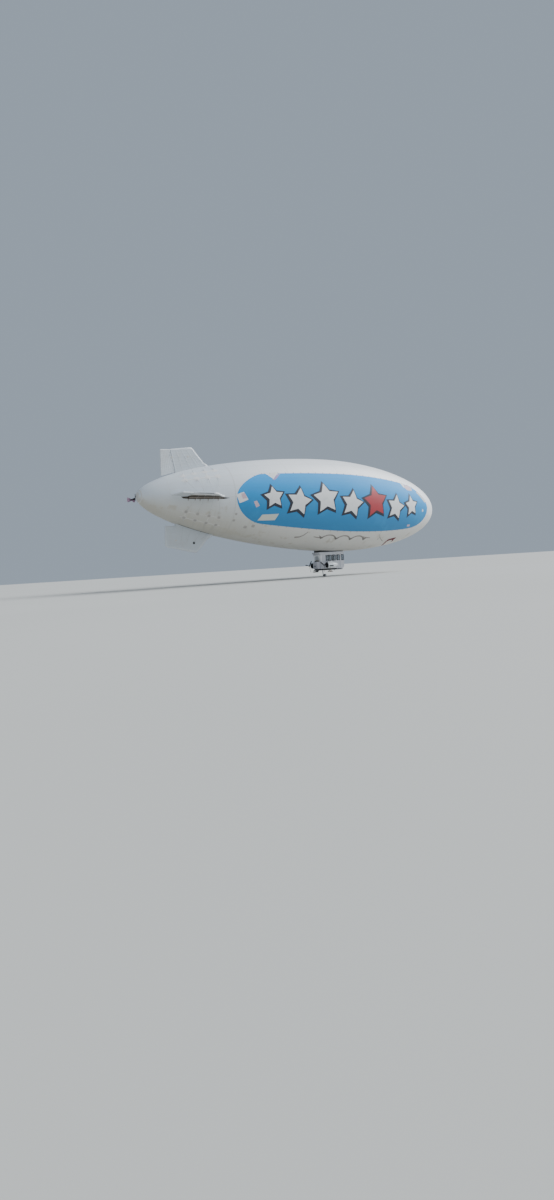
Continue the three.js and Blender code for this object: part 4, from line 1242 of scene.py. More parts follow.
@dataclass(frozen=True)
class FinCover:
    """Cloth over the ribs and spars on both faces of a fin or moving surface.

    Each corner is (station, radius). Where the cover follows the hull, its root's radius comes from the hull,
    and behind a notch's station from the notch.
    """

    name: str
    body: Body
    quarter: Quarter
    root: tuple[Pair, Pair]
    tip: tuple[Pair, Pair]
    half: float
    ribs: int
    spars: int
    finish: Finish
    follows_hull: bool = False
    notch: Pair = NO_NOTCH
    steps: int = 56

    @staticmethod
    def ridge(share: Array, count: int) -> Array:
        """1 on each of so many evenly spaced lines and 0 between them, as exp(-(distance / width)^2)."""
        return np.exp(-((((share * count + 0.5) % 1 - 0.5) / 0.09) ** 2))

    def build(self) -> None:
        """Two closed cushions of cloth, one on each face, drawn tight over the frame."""
        ends = np.concatenate(([0.0], np.linspace(0.003, 0.997, self.steps), [1.0]))
        up, back = np.meshgrid(ends, ends, indexing="ij")
        (root_x, root_r), (tip_x, tip_r) = (
            [a[i] + (b[i] - a[i]) * back for i in (0, 1)] for a, b in (self.root, self.tip)
        )
        if self.follows_hull:
            notch_x, notch_r = self.notch
            root_r = np.where(root_x < notch_x, notch_r, np.maximum(HULL.girth(root_x) + 0.05, root_r))
        station = root_x + (tip_x - root_x) * up
        radius = root_r + (tip_r - root_r) * up
        edge = (np.minimum(up, 1 - up) == 0) | (np.minimum(back, 1 - back) == 0)
        frame_lines = np.maximum(self.ridge(up, self.ribs), self.ridge(back, self.spars))
        height = np.where(edge, -0.002, 0.004 + 0.010 * frame_lines)
        # The downward face of a level fin gets the underside cloth: painted shade on its root half.
        underside = {Quarter.STARBOARD: -1, Quarter.PORT: 1}.get(self.quarter, 0) if self.follows_hull else 0
        form, shaded = Form(), Form()
        surface = np.stack((up, back), axis=-1)
        for way in (-1, 1):
            for level in (height, np.full_like(height, -0.002)):
                face = self.quarter.place(np.stack((station, way * (self.half + level), radius), axis=-1))
                (shaded if way == underside else form).grid(face, surface)
        form.made(self.name, self.finish, "fin_skin", self.body, sharp=50)
        if underside:
            shaded.made(f"{self.name}_underside", SHADED_UNDERSIDE_CLOTH, "fin_skin", self.body, sharp=50)


@dataclass
class Tail:
    """The four fins' cloth, edges, painted shade strips under the level fins and root tapes, over the frame's
    own plates and hinges.
    """

    hinge_low: Pair = (-16.72, 2.45)
    hinge_high: Pair = (-17.20, 4.72)
    fin_half: float = 0.075
    surface_half: float = 0.048
    edge_radius: float = 0.062
    tape_width: float = 0.10
    edge: Route = ((-12.95, 3.054), (-14.516, 4.752), (-14.718, 5.13), (-15.18, 5.059))
    lower_edge: Route = ((-12.60, 3.15), (-14.33, 5.08), (-14.53, 5.305), (-14.92, 5.24))
    tip_rear: Pair = (-17.10, 4.735)
    lower_notch: Pair = (-16.77, 2.77)
    fairing_outline: Route = (
        (-12.60, -2.4), (-13.18, -1.5), (-15.00, -1.6), (-16.40, -1.8), (-17.25, -2.6),
        (-17.05, -6.9), (-16.41, -7.3), (-15.01, -5.9), (-13.18, -4.5),
    )

    def by_hinge(self, along: float, ahead: float) -> Pair:
        """A point so far along the hinge line and so far ahead of it."""
        low, high = np.array(self.hinge_low), np.array(self.hinge_high)
        x, r = (high - low) / np.linalg.norm(high - low)
        return float(low[0] + x * along + r * ahead), float(low[1] + r * along - x * ahead)

    def build(self) -> None:
        """Each quarter in turn."""
        for quarter in Quarter:
            self.cover(quarter)
            self.leading_edge(quarter)
            self.root_tapes(quarter)
        for side in Side:
            self.fairing(side)
        self.fittings()

    def cover(self, quarter: Quarter) -> None:
        """The cloth of a fin, and of the rudder or elevator behind it."""
        if quarter is Quarter.LOWER:
            root, notch = ((-13.10, 0.0), (-17.80, 0.0)), self.lower_notch
            tip = (-14.55, 5.06), (-17.78, 4.60)
        else:
            root, notch = ((-13.40, 0.0), (self.by_hinge(0, 0.075)[0], 0.0)), NO_NOTCH
            tip = (-14.80, 4.87), self.by_hinge(2.225, 0.075)
        name = f"fin_cover_{quarter.word}"
        FinCover(name, Body.AIRFRAME, quarter, root, tip, self.fin_half, 6, 4, FIN_CLOTH, True, notch).build()
        if quarter is not Quarter.LOWER:
            root = self.by_hinge(0.12, -0.065), (-18.12, 2.15)
            tip = self.by_hinge(2.25, -0.065), (-18.15, 4.58)
            name = f"{quarter.moving.value}_cover"
            FinCover(name, quarter.moving, quarter, root, tip, self.surface_half, 5, 6, RUDDER_CLOTH).build()
        dress(FIN_EDGE, f"fin_{quarter.word}")

    def leading_edge(self, quarter: Quarter) -> None:
        """The rounded leading edge with its corner, and the boot of cloth where it meets the hull: bright
        white, and on the lower fin the darker edge paint as painted shade.

        The corner is the parabola (1 - t)^2 a + 2 t (1 - t) b + t^2 c.
        """
        corners = self.lower_edge if quarter is Quarter.LOWER else self.edge
        foot, top, corner, tip = (np.array(p) for p in corners)
        t = np.linspace(0, 1, 13)[:, None]
        line = foot + (top - foot) * np.linspace(0, 1, 24)[:-1, None]
        bend = (1 - t) ** 2 * top + 2 * t * (1 - t) * corner + t**2 * tip
        flat = np.vstack((line, bend))
        inset = np.column_stack((flat[:, 0] - 0.03, flat[:, 1] - 0.03))
        path = quarter.place(np.column_stack((inset[:, 0], np.zeros(len(inset)), inset[:, 1])))
        radius = np.full(len(path), self.edge_radius)
        radius[-4:] = np.linspace(0.055, 0.02, 4)
        form = Form().tube(path, radius, 14)
        boot = foot + (top - foot) * np.linspace(0.02, 0.36, 9)[:, None]
        path = quarter.place(np.column_stack((boot[:, 0], np.zeros(9), boot[:, 1])))
        swell = 1.0 if quarter in (Quarter.UPPER, Quarter.LOWER) else 0.25
        full = np.array([0.10, 0.15, 0.17, 0.17, 0.155, 0.13, 0.105, 0.085, 0.066])
        form.tube(path, 0.064 + (full - 0.064) * swell, 16)
        # The lower fin's leading edge is darker as painted shade.
        form.made(f"leading_edge_{quarter.word}", FIN_EDGE if quarter is Quarter.LOWER else EDGE_WHITE)
        if quarter in (Quarter.STARBOARD, Quarter.PORT):
            chord = np.linspace(tip + (-0.05, 0.0), self.tip_rear, 9)
            seam = quarter.place(np.column_stack((chord[:, 0], np.full(9, -0.010), chord[:, 1] - 0.012)))
            Form().tube(seam, 0.030, 10).made(f"tip_seam_{quarter.word}", SEAL_RUBBER)

    def root_tapes(self, quarter: Quarter) -> None:
        """A tape along each side of a fin's root, down on the hull: white on three fins, and on the lower fin
        dark, as a painted shadow line along its root.
        """
        station = np.linspace(-13.10 if quarter is Quarter.LOWER else -13.35, -16.62, 40)
        form = Form()
        for way in (-1, 1):
            angle = quarter.angle + way * (self.fin_half + 0.055) / HULL.girth(station)
            form.grid(strip(station, angle, self.tape_width, 0.006))
        # The lower fin's dark root tapes are painted shadow.
        form.made(f"root_tapes_{quarter.word}", ROOT_SHADE_CLOTH if quarter is Quarter.LOWER else EDGE_WHITE)

    def fairing(self, side: Side) -> None:
        """The dark strip under the root of a level fin, painted shade with stains in it, and the streaks that
        run down from it.
        """
        fairing, streaks = Form(), Form()
        # A dark strip laid where the fin's shade falls on the hull: painted shade, with stains.
        lay_patch(fairing, side, self.fairing_outline, 0.014, 5)
        fairing.made(f"root_fairing_{side.word}", ROOT_SHADE_CLOTH)
        for x, low in ((-16.58, -11.6), (-15.94, -10.2), (-15.48, -10.6), (-14.72, -9.8), (-13.76, -8.0)):
            corners = (x - 0.05, low + 5.0), (x + 0.05, low + 5.0), (x + 0.02, low), (x - 0.02, low)
            lay_patch(streaks, side, corners, 0.006, 3, 3)
        lay_band(streaks, side, ((-13.30, -2.9), (-15.00, -3.4), (-16.50, -4.4)), (0.07, 0.13), 0.017)
        streaks.made(f"root_streaks_{side.word}", STREAK_CLOTH)

    def fittings(self) -> None:
        """Small discs on the fins' faces, as access covers, and a pair of cable horns on each surface."""
        dark, pale = Form(), Form()
        spots = (
            (pale, Quarter.UPPER, -15.25, 4.14, 0.10), (pale, Quarter.UPPER, -16.97, 3.94, 0.09),
            (dark, Quarter.LOWER, -14.83, 4.31, 0.13), (pale, Quarter.LOWER, -16.80, 4.09, 0.09),
        )
        for form, quarter, x, r, size in spots:
            disc = [[0, 0], [0.012, size * 0.8], [0.008, size], [-0.01, size], [-0.01, 0]]
            for way in (-1, 1):
                face = quarter.place([x, way * (self.fin_half + 0.008), r])
                form.turned(disc, face, quarter.place([x, way, r]) - quarter.place([x, 0, r]), 24)
        dark.made("access_covers", DARK_PAINT)
        pale.made("inspection_patches", LOAD_CLOTH)
        for quarter in (Quarter.UPPER, Quarter.STARBOARD, Quarter.PORT):
            horn = Form()
            x, r = self.by_hinge(1.75, -0.13)
            for way in (-1, 1):
                path = [(x, way * 0.02, r), (x + 0.01, way * 0.11, r), (x + 0.02, way * 0.20, r)]
                pin = [(x + 0.02, way * 0.19, r - 0.03), (x + 0.02, way * 0.19, r + 0.03)]
                horn.tube(quarter.place(path), [0.028, 0.020, 0.012], 10)
                horn.tube(quarter.place(pin), 0.012, 10)
            horn.made(f"control_horns_{quarter.word}", STEEL, body=quarter.moving)


STAY_WORDS = {
    Quarter.UPPER: "upper_starboard",
    Quarter.STARBOARD: "lower_starboard",
    Quarter.LOWER: "lower_port",
    Quarter.PORT: "upper_port",
}


@dataclass
class Rigging:
    """Stays, the load patches at their feet and the tapes between them, and the handling strap forward."""

    stays: tuple[Point, ...] = (
        (-14.70, 4.15, -14.40), (-16.20, 4.05, -16.60), (-15.60, 4.10, -15.50), (-13.95, 3.92, -13.40),
    )
    foot_angle: float = math.radians(37)
    radius: float = 0.007
    tape: float = 0.10
    patch: float = 0.48
    ring: float = 0.27
    turnbuckle: Route = (
        (0, 0), (0.01, 0.012), (0.05, 0.013), (0.07, 0.022), (0.20, 0.022), (0.22, 0.013), (0.27, 0.012),
        (0.28, 0),
    )
    button: Route = ((0, 0), (0.004, 0.045), (0.018, 0.04), (0.022, 0))
    marks: tuple[Point, ...] = (
        (-10.45, -46.9, 0.34), (-9.68, -43.1, 0.34), (-11.85, -38.0, 0.26), (-11.80, -27.0, 0.22),
    )
    front_tapes: tuple[Band, ...] = (
        (((6.55, -43.0), (6.80, -47.5), (7.15, -51.6), (7.90, -58.5)), (0.06, 0.13), 0.008),
        (((6.85, -48.6), (6.74, -51.0), (6.85, -54.0)), (0.12, 0.07), 0.009),
    )
    strap_runs: tuple[Band, ...] = (
        (((9.05, -77.0), (8.80, -68.0), (8.70, -62.0), (8.75, -58.6)), (0.18, 0.28), 0.010),
        (((8.70, -59.0), (9.10, -57.2), (9.92, -56.0)), (0.44, 0.32), 0.012),
        (((9.86, -56.3), (9.66, -58.4), (9.80, -61.5), (9.92, -66.0)), (0.38, 0.12), 0.014),
    )

    def build(self) -> None:
        """Wires by the quarter, then patches and tapes, and the strap."""
        for quarter in Quarter:
            self.wires(quarter)
            self.feet(quarter)
        self.curtain_patches()
        self.strap()

    def wires(self, quarter: Quarter) -> None:
        """The wires in the space between a fin and the next one, with a turnbuckle at each foot."""
        wires, ends = Form(), Form()
        for fin, way in ((quarter, -1), (quarter.next, 1)):
            for x, r, foot_x in self.stays:
                girth = float(HULL.girth(foot_x)) + 0.01
                out, up = girth * math.sin(self.foot_angle), girth * math.cos(self.foot_angle)
                foot = fin.place([foot_x, way * out, up])
                top = fin.place([x, way * 0.076, r])
                wires.tube([top, top + (foot - top) * 0.5, foot], self.radius, 8)
                along = (foot - top) / np.linalg.norm(foot - top)
                ends.turned(self.turnbuckle, foot - along * 0.42, along, 12)
                ends.turned(self.button, top - along * 0.004, along, 16)
        name = f"stays_{STAY_WORDS[quarter]}"
        wire = wires.made(f"{name}_wires", WIRE, "wire")
        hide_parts(name)
        ends.made(f"{name}_turnbuckles", STEEL)

    def feet(self, quarter: Quarter) -> None:
        """Two rows of load patches between a fin and the next, joined by hull-coloured tapes."""
        rows = [quarter.angle - self.foot_angle, quarter.angle - math.radians(90) + self.foot_angle]
        patches, centres, tapes = Form(), Form(), Form()
        for angle in rows:
            line = np.linspace(-17.0, -13.0, 40)
            tapes.grid(strip(line, np.full(40, angle), self.tape, 0.005))
            for _, _, x in self.stays:
                patches.grid(self.square(x, angle, self.patch, 0.008))
                centres.grid(self.square(x, angle, self.ring, 0.012))
        for _, _, x in self.stays[:2]:
            line = np.linspace(rows[0], rows[1], 24)
            tapes.grid(strip(np.full(24, x), line, self.tape, 0.0055))
        below = quarter in (Quarter.STARBOARD, Quarter.LOWER)
        tapes.made(f"stay_tapes_{quarter.word}", HULL_TAPE if below else PALE_PATCH)
        patches.made(f"load_patches_{quarter.word}", LOAD_CLOTH if below else PALE_PATCH)
        centres.made(f"load_rings_{quarter.word}", LOAD_RING if below else PALE_PATCH)

    def square(self, x: float, angle: float, size: float, lift: float) -> Array:
        """A round-cornered square of cloth on the hull."""
        flat = rounded(size / 2, size / 2, 32, 5.0)
        outline = np.column_stack((x + flat[:, 0], angle + flat[:, 1] / float(HULL.girth(x))))
        return hull_patch(outline, Side.STARBOARD, lift, rings=4)

    def curtain_patches(self) -> None:
        """Single patches behind the blue panels, and the upright tape below their front ends."""
        marks = Form()
        for side in Side:
            for x, degrees, size in self.marks:
                angle = float(HULL.mirrored(math.radians(degrees), side))
                marks.grid(self.square(x, angle, size, 0.007))
            for band in self.front_tapes:
                lay_band(marks, side, *band)
        marks.made("curtain_patches", LOAD_RING)

    def strap(self) -> None:
        """The red handling strap on each lower bow: a leg from the belly, a wide run forward, a leg down."""
        form = Form()
        for side in Side:
            for band in self.strap_runs:
                lay_band(form, side, *band)
        form.made("handling_straps", RED_WEBBING)


@dataclass
class Stern:
    """The ribbon tied behind the tail, and the post that it is tied to."""

    post_x: float = -20.88
    knot_x: float = -20.912

    def build(self) -> None:
        """The post's fittings, the mauve ribbon and the dark pennant."""
        post = Form()
        for z in (-0.39, 0.0, 0.21):
            post.rod(-0.02, 0.02, 0.036, HULL.place([self.post_x, 0, z]), HULL.place(UP), 20)
        post.made("post_collars", DARK_PAINT)
        dress(DARK_PAINT, "stern_post")
        self.ribbon()
        self.pennant()

    def cloth(
        self, station: Array, middle: Array, width: Array, cut: float, folds: float, phase: float
    ) -> Array:
        """A gathered strip of cloth as a closed sheet 3 mm thick.

        Where the strip is narrower than its cut, it lies in folds y = a sin(2 pi n v + phase) whose slope is
        pi/2 sqrt((cut / width)^2 - 1), which takes up the rest of the cut.

        Args:
            station: Stations along the strip.
            middle: Height of its middle there.
            width: Height that it covers there.
            cut: Its width laid flat.
            folds: Number of folds.
            phase: Where the first fold starts.

        Returns:
            Points of a grid that is closed all round.
        """
        v = np.linspace(-0.5, 0.5, 49)
        slope = np.pi / 2 * np.sqrt(np.maximum((cut / width) ** 2 - 1, 0))
        size = slope * width / (2 * np.pi * folds)
        sway = 0.02 * np.sin(3.0 * (station[:, None] - station[0]))
        y = size[:, None] * np.sin(2 * np.pi * folds * v + phase) + sway
        z = middle[:, None] + width[:, None] * v
        x = np.broadcast_to(station[:, None], y.shape)
        faces = [np.stack((x, y + half, z), -1) for half in (0.0015, -0.0015)]
        loops = np.concatenate((faces[0], faces[1][:, ::-1], faces[0][:, :1]), axis=1)
        ends = [faces[0][i] for i in (0, -1)]
        front, back = (np.concatenate((end, end[::-1], end[:1]))[None] for end in ends)
        return HULL.place(np.concatenate((front, loops, back)))

    def ribbon(self) -> None:
        """The mauve ribbon: spread out from the post, drawn in at its waist and spread again at its end."""
        share = np.linspace(0, 1, 61)
        station = self.knot_x - 0.80 * share
        waist = np.exp(-(((share - 0.46) / 0.20) ** 2))
        width = 0.415 - 0.235 * waist - 0.17 * np.exp(-((share / 0.10) ** 2))
        middle = -0.43 + 0.11 * share + 0.03 * np.sin(5 * share)
        grid = self.cloth(station, middle, width, 0.42, 3.0, 0.6)
        ribbon = Form().grid(grid).made("stern_ribbon", MAUVE_RIBBON, "ribbon", sharp=80)
        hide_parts("stern_streamer")

    def pennant(self) -> None:
        """The dark strip tied over it: narrow at the ribbon's waist and wider at the post."""
        share = np.linspace(0, 1, 31)
        station = self.knot_x - 0.46 * share
        width = 0.24 - 0.16 * share
        middle = -0.24 - 0.12 * share
        grid = self.cloth(station, middle, width, 0.26, 2.0, 1.4) + np.array([0.0, -0.045, 0.0])
        strip_piece = Form().grid(grid).made("stern_pennant", DARK_RIBBON, "ribbon", sharp=80)


@dataclass
class HullEnds:
    """The nose dish's rim and spindle, and the stern cap's tape."""

    tapes: tuple[Point, ...] = ((17.30, 0.16, 0.008), (-20.50, 0.12, 0.008))
    bolt_ring: float = 17.502
    bolts: int = 24

    def build(self) -> None:
        """Finishes for the end pieces, and the tapes and bolts over their rims."""
        dress(ALLOY, "nose_dish")
        dress(STEEL, "mooring_spindle")
        dress(HULL_TAPE, "stern_cap")
        turn = np.linspace(-np.pi, np.pi, 97)
        rims = Form()
        for station, width, lift in self.tapes:
            rims.grid(strip(np.full(97, station), turn, width, lift))
        rims.made("end_tapes", HULL_TAPE)
        bolts = Form()
        head = [[-0.004, 0], [-0.004, 0.016], [0.010, 0.016], [0.012, 0]]
        for angle in np.arange(self.bolts) * 2 * np.pi / self.bolts:
            foot = HULL.skin(self.bolt_ring, angle, 0.018)
            bolts.turned(head, foot, HULL.normal(self.bolt_ring, angle), 6)
        bolts.made("dish_bolts", STEEL)


# Gondola


def spline(points: Array, steps: int) -> Array:
    """A smooth line through points: from p1 to p2, the Catmull-Rom cubic with p0 and p3 beyond them."""
    p = np.asarray(points, float)
    p = np.vstack((2 * p[:1] - p[1:2], p, 2 * p[-1:] - p[-2:-1]))
    t = np.linspace(0, 1, steps, endpoint=False)[None, :, None]
    a, b, c, d = (p[i : len(p) - 3 + i, None] for i in range(4))
    cubic = 2 * b + (c - a) * t + (2 * a - 5 * b + 4 * c - d) * t**2 + (3 * b - a - 3 * c + d) * t**3
    return np.vstack((cubic.reshape(-1, p.shape[1]) / 2, p[-2:-1]))


def pillow(centre: Array, half: Array, lean: float = 0.0, soft: float = 0.34) -> Array:
    """A stuffed pad as a superellipsoid, leaned back about Y.

    Its points are half * (cu^e cv^e, cu^e sv^e, su^e) for cosines and sines of u and v, each power signed.

    Args:
        centre: Its centre.
        half: Half its size each way.
        lean: Radians that its top leans aft.
        soft: The power e: smaller is boxier.

    Returns:
        Points of a closed grid.
    """
    def signed(value: Array) -> Array:
        """A power that keeps the sign."""
        return np.sign(value) * np.abs(value) ** soft

    u, v = np.meshgrid(np.linspace(-np.pi / 2, np.pi / 2, 29), np.linspace(-np.pi, np.pi, 57), indexing="ij")
    x = half[0] * signed(np.cos(u)) * signed(np.cos(v))
    y = half[1] * signed(np.cos(u)) * signed(np.sin(v))
    z = half[2] * signed(np.sin(u))
    c, s = math.cos(lean), math.sin(lean)
    return np.stack((x * c - z * s, y, x * s + z * c), axis=-1) + np.asarray(centre, float)


def gasket(inner: Array, outer: Array, places: Iterable[float]) -> Iterable[tuple[Array, float]]:
    """A window frame's five loops from inner edge over crown to outer edge, each with its place."""
    return zip((inner, inner, (inner + outer) / 2, outer, outer), places, strict=True)


class Placed:
    """A sub-assembly that is measured in a frame of its own, about an origin in the row frame."""

    origin: Point

    def form(self, *place: float) -> Form:
        """An empty form about a point of that frame, or about its origin."""
        return Form(np.array(self.origin) + (place or ORIGIN))


@dataclass
class Cabin(Placed):
    """The cabin's outside trim, glazing and interior. Its frame has x ahead of its rear wall and z up."""

    origin: Point = (0.15, 0.0, -7.12)
    half_width: float = 0.65
    length: float = 3.35
    height: float = 1.93
    sill: float = 0.945
    header: float = 1.60
    front_corner: float = 0.12
    rear_corner: float = 0.11
    windows: Route = ((0.72, 0.86), (0.92, 1.53), (1.59, 2.12))
    door_window: Pair = (2.24, 2.69)
    front_window: Pair = (2.87, 3.27)
    windscreen: Pair = (0.025, 0.56)
    door: Pair = (2.17, 2.76)
    floor: float = 0.06
    box_rear: float = -0.331
    lamp_height: float = 0.70
    can: Route = (
        (0.0, 0.0), (0.0, 0.130), (0.012, 0.150), (0.030, 0.150), (0.040, 0.142), (0.110, 0.142),
        (0.120, 0.150), (0.138, 0.150), (0.150, 0.132), (0.144, 0.118), (0.144, 0.0),
    )

    def outline(
        self, inset: float, start: float = 0.0, end: float = 1.0, steps: int = 200, cut: float = 0.0
    ) -> Array:
        """The cabin's plan, from the door's rear edge round by tail, port side and nose to its front edge.

        Args:
            inset: How far inside the walls.
            start: Where to begin, as a share of the whole run.
            end: Where to stop, as a share of the whole run.
            steps: Number of points.
            cut: Length left off at the nose.

        Returns:
            Points of the path.
        """
        w, rear, front = self.half_width - inset, inset, self.length - cut - inset
        r, q = self.rear_corner - inset, self.front_corner - inset
        turn = np.linspace(0, np.pi / 2, 13)
        c, s = np.cos(turn), np.sin(turn)
        line = np.vstack((
            [(self.door[0], -w)],
            np.column_stack((rear + r - r * s, -w + r - r * c)),
            np.column_stack((rear + r - r * c, w - r + r * s)),
            np.column_stack((front - q + q * s, w - q + q * c)),
            np.column_stack((front - q + q * c, -w + q - q * s)),
            [(self.door[1], -w)],
        ))
        run = np.concatenate(([0], np.cumsum(np.linalg.norm(np.diff(line, axis=0), axis=1))))
        where = np.linspace(start, end, steps) * run[-1]
        return np.column_stack([np.interp(where, run, line[:, i]) for i in (0, 1)])

    def band(self, inset: float, z: float, start: float = 0.0, end: float = 1.0, cut: float = 0.0) -> Array:
        """A path round the cabin at a height."""
        plan = self.outline(inset, start, end, cut=cut)
        return np.column_stack((plan, np.full(len(plan), z)))

    def build(self) -> None:
        """Paint on the shells, then trim, windows, door, box, rail and inside."""
        # Painted shade on the shells and painted light on the rear wall, to even out how the light falls on
        # them.
        dress(SHADED_SHELL_PAINT, "cabin_tub", "cabin_roof", "cabin_side_port", "cabin_side_starboard", "door_post")
        dress(SHADED_SHELL_PAINT, "cabin_front", "door")
        dress(LIGHTENED_REAR_PAINT, "cabin_rear")
        dress(ACRYLIC, "glass_port", "glass_starboard", "glass_door", "windscreen")
        dress(PANE_WHITE, "glass_rear")
        # The roof collar is near black partly as painted shadow in the gap under the hull.
        dress(DARK_CLOTH_AND_SHADE, "roof_collar", "blower_hood")
        dress(BOX_PAINT, "tail_box")
        dress(DARK_PAINT, "handling_rail", "instrument_panel")
        self.trim()
        self.side_windows()
        self.rear_window()
        self.rivets()
        self.door_fittings()
        self.nose_fittings()
        self.tail_fittings()
        for name, y in (("pilot", 0.29), ("copilot", -0.29)):
            self.seat(name, y)
        self.bench()
        self.controls()

    def trim(self) -> None:
        """The strip at the sill, the rail's padding, the strake and seal at the floor, and the gutter."""
        strips = self.form().tube(self.band(-0.003, self.sill - 0.03), 0.009, 8)
        strips.made("cabin_strips", ALLOY, "alloy")
        pad = self.form().tube(self.band(-0.07, -0.02, cut=0.42), 0.043, 12, closed=True)
        pad.made("rail_padding", SEAL_RUBBER, "dark")
        section = (-0.006, -0.008), (0.112, -0.008), (0.116, 0.004), (-0.006, 0.004), (-0.006, -0.008)
        strake = self.form().grid(np.stack([self.band(inset, z, 0.0, 0.72) for z, inset in section], axis=1))
        strake.made("foot_strake", SEAL_RUBBER, "dark")
        seal = self.form().tube(self.band(0.012, 0.03, 0.0, 0.42), 0.012, 8)
        seal.made("cabin_seals", SEAL_RUBBER, "dark")
        z = self.height - 0.012
        gutter = self.form()
        gutter.tube(np.vstack((self.band(-0.004, z, 0.41, 1.0), self.band(-0.004, z, 0.0, 0.242))), 0.014, 8)
        gutter.tube([(-0.204, y, z) for y in (-0.638, 0.0, 0.638)], 0.014, 8)
        gutter.made("roof_gutters", SHADED_SHELL_PAINT, "shell")

    def window(self, seal: Form, low: float, high: float, side: Side | None) -> None:
        """A black rubber frame with rounded corners over a square opening in a side wall, or in the nose."""
        centre = ((low + high) / 2, (self.sill + self.header + 0.010) / 2)
        a, b = (high - low) / 2, (self.header - self.sill - 0.06) / 2
        inner, outer = rounded(a - 0.010, b - 0.010, 96, 4.5), rounded(a + 0.018, b + 0.032, 96, 7.0)
        loops = gasket(inner, outer, (-0.023, 0.004, 0.010, 0.005, -0.002))
        seal.loft([self.on_wall(loop + centre, side, out) for loop, out in loops], capped=False)

    def on_wall(self, flat: Array, side: Side | None, out: float) -> Array:
        """A flat loop stood on a side wall, or on the nose where no side is given."""
        along, z = flat.T
        if side is None:
            return np.column_stack((np.full(len(flat), self.length + out), along, z))
        return np.column_stack((along, np.full(len(flat), side.value * (self.half_width + out)), z))

    def side_windows(self) -> None:
        """The rubber frames of the side windows, of the windscreen's two panes and of the door's window."""
        seal = self.form()
        for side in Side:
            panes = self.windows + (self.front_window,) + ((self.door_window,) if side is Side.PORT else ())
            for low, high in panes:
                self.window(seal, low, high, side)
            self.window(seal, *sorted(side.value * y for y in self.windscreen), None)
        seal.made("window_seals", SEAL_RUBBER, "dark")
        seal = self.form()
        self.window(seal, *self.door_window, Side.STARBOARD)
        seal.made("door_window_seal", SEAL_RUBBER, "dark", Body.DOOR)

    def rear_window(self) -> None:
        """The rear window's frame."""
        a, b = 0.33, (self.header - self.sill - 0.17) / 2
        inner, outer = rounded(a - 0.012, b - 0.012, 96, 5.0), rounded(a + 0.03, b + 0.03, 96, 9.0)
        levels = gasket(inner, outer, (0.022, -0.004, -0.009, -0.005, 0.002))
        loops = [np.column_stack((np.full(len(loop), x), loop)) for loop, x in levels]
        frame = self.form(0.0, 0.0, (self.sill + 0.11 + self.header - 0.06) / 2).loft(loops, capped=False)
        frame.made("rear_window_frame", NACELLE_PAINT, "shell")

    def rivets(self) -> None:
        """Rows of rivet heads along the sill, header and floor, none under the nose or the roof's rear."""
        heads = self.form()
        dome = [[-0.002, 0], [-0.002, 0.007], [0.002, 0.006], [0.0035, 0.003], [0.004, 0]]
        for z, pitch in ((0.885, 0.11), (1.655, 0.11), (0.075, 0.16)):
            plan = self.outline(0.0, 0.01, 0.99, int(9.2 / pitch))
            for (x, y), (dx, dy) in zip(plan, np.gradient(plan, axis=0), strict=True):
                if (z > 0.1 or x < 2.8) and (z < 1.6 or x > 0.12):
                    heads.turned(dome, (x, y, z), (dy, -dx, 0), 8)
        heads.made("rivets", ALLOY, "alloy")

    def door_fittings(self) -> None:
        """The door's handle, plates and edge strips, and the step under it, measured from the wall's face."""
        wall = 0.0, -self.half_width, 0.0
        handle, lines, step = (self.form(*wall) for _ in range(3))
        handle.block((2.205, -0.006, 0.80), (2.265, 0.002, 0.94), 0.003)
        handle.tube([(2.235, 0.0, 0.90), (2.235, -0.035, 0.90), (2.33, -0.038, 0.895)], 0.009, 10)
        handle.block((2.24, -0.006, 0.19), (2.68, 0.002, 0.30), 0.003)
        handle.made("door_handle_and_plates", ALLOY, "alloy", Body.DOOR)
        for x in (2.195, 2.735):
            lines.tube([(x, -0.001, 0.18), (x, -0.001, 1.73)], 0.005, 8)
        for z in (0.18, 1.73, self.sill - 0.03):
            lines.tube([(2.195, -0.001, z), (2.735, -0.001, z)], 0.005, 8)
        lines.made("door_beading", SHADED_SHELL_PAINT, "shell", Body.DOOR)
        step.block((2.30, -0.125, 0.045), (2.62, 0.004, 0.065), 0.004)
        for x in (2.33, 2.59):
            step.tube([(x, 0.002, 0.005), (x, -0.10, 0.048)], 0.008, 8)
        for y in np.linspace(0.02, 0.11, 5):
            step.tube([(2.31, -y, 0.067), (2.61, -y, 0.067)], 0.003, 6)
        step.made("door_step", DARK_PAINT, "dark")

    def nose_fittings(self) -> None:
        """The landing lamp, the pitot tube, the wipers and two small aerials below the floor."""
        lamp, lens = (self.form(self.length, 0.0, self.lamp_height) for _ in range(2))
        rim = [[-0.01, 0], [-0.01, 0.085], [0.012, 0.085], [0.018, 0.078], [0.012, 0.070], [-0.004, 0.06]]
        lamp.turned([*rim, [-0.006, 0]], ORIGIN, AHEAD, 40).made("lamp_rim", ALLOY, "alloy")
        glass = [[-0.004, 0], [-0.004, 0.071], [0.006, 0.068], [0.014, 0.04], [0.016, 0]]
        lens.turned(glass, ORIGIN, AHEAD, 40).made("lamp_lens", LAMP_GLASS, "glazing")
        pitot = self.form()
        pitot.tube([(3.27, 0.42, 0.60), (3.38, 0.42, 0.58), (3.52, 0.42, 0.58)], [0.012, 0.011, 0.008], 12)
        front = self.length
        for y in (0.12, -0.30):
            wiper = [(front, y, 0.94), (front + 0.025, y, 0.96), (front + 0.022, y + 0.16, 1.42)]
            pitot.tube(wiper, 0.007, 8)
        pitot.made("pitot_and_wipers", DARK_PAINT, "dark")
        blade = self.form(0.0, 0.2, 0.0)
        for x in (1.75, 2.45):
            sections = ((0.0, 0.14), (-0.10, 0.09), (-0.16, 0.05))
            blade.loft([self.lens(x - z * 0.5, z + 0.002, chord) for z, chord in sections])
        blade.made("belly_aerials", DARK_PAINT, "dark")

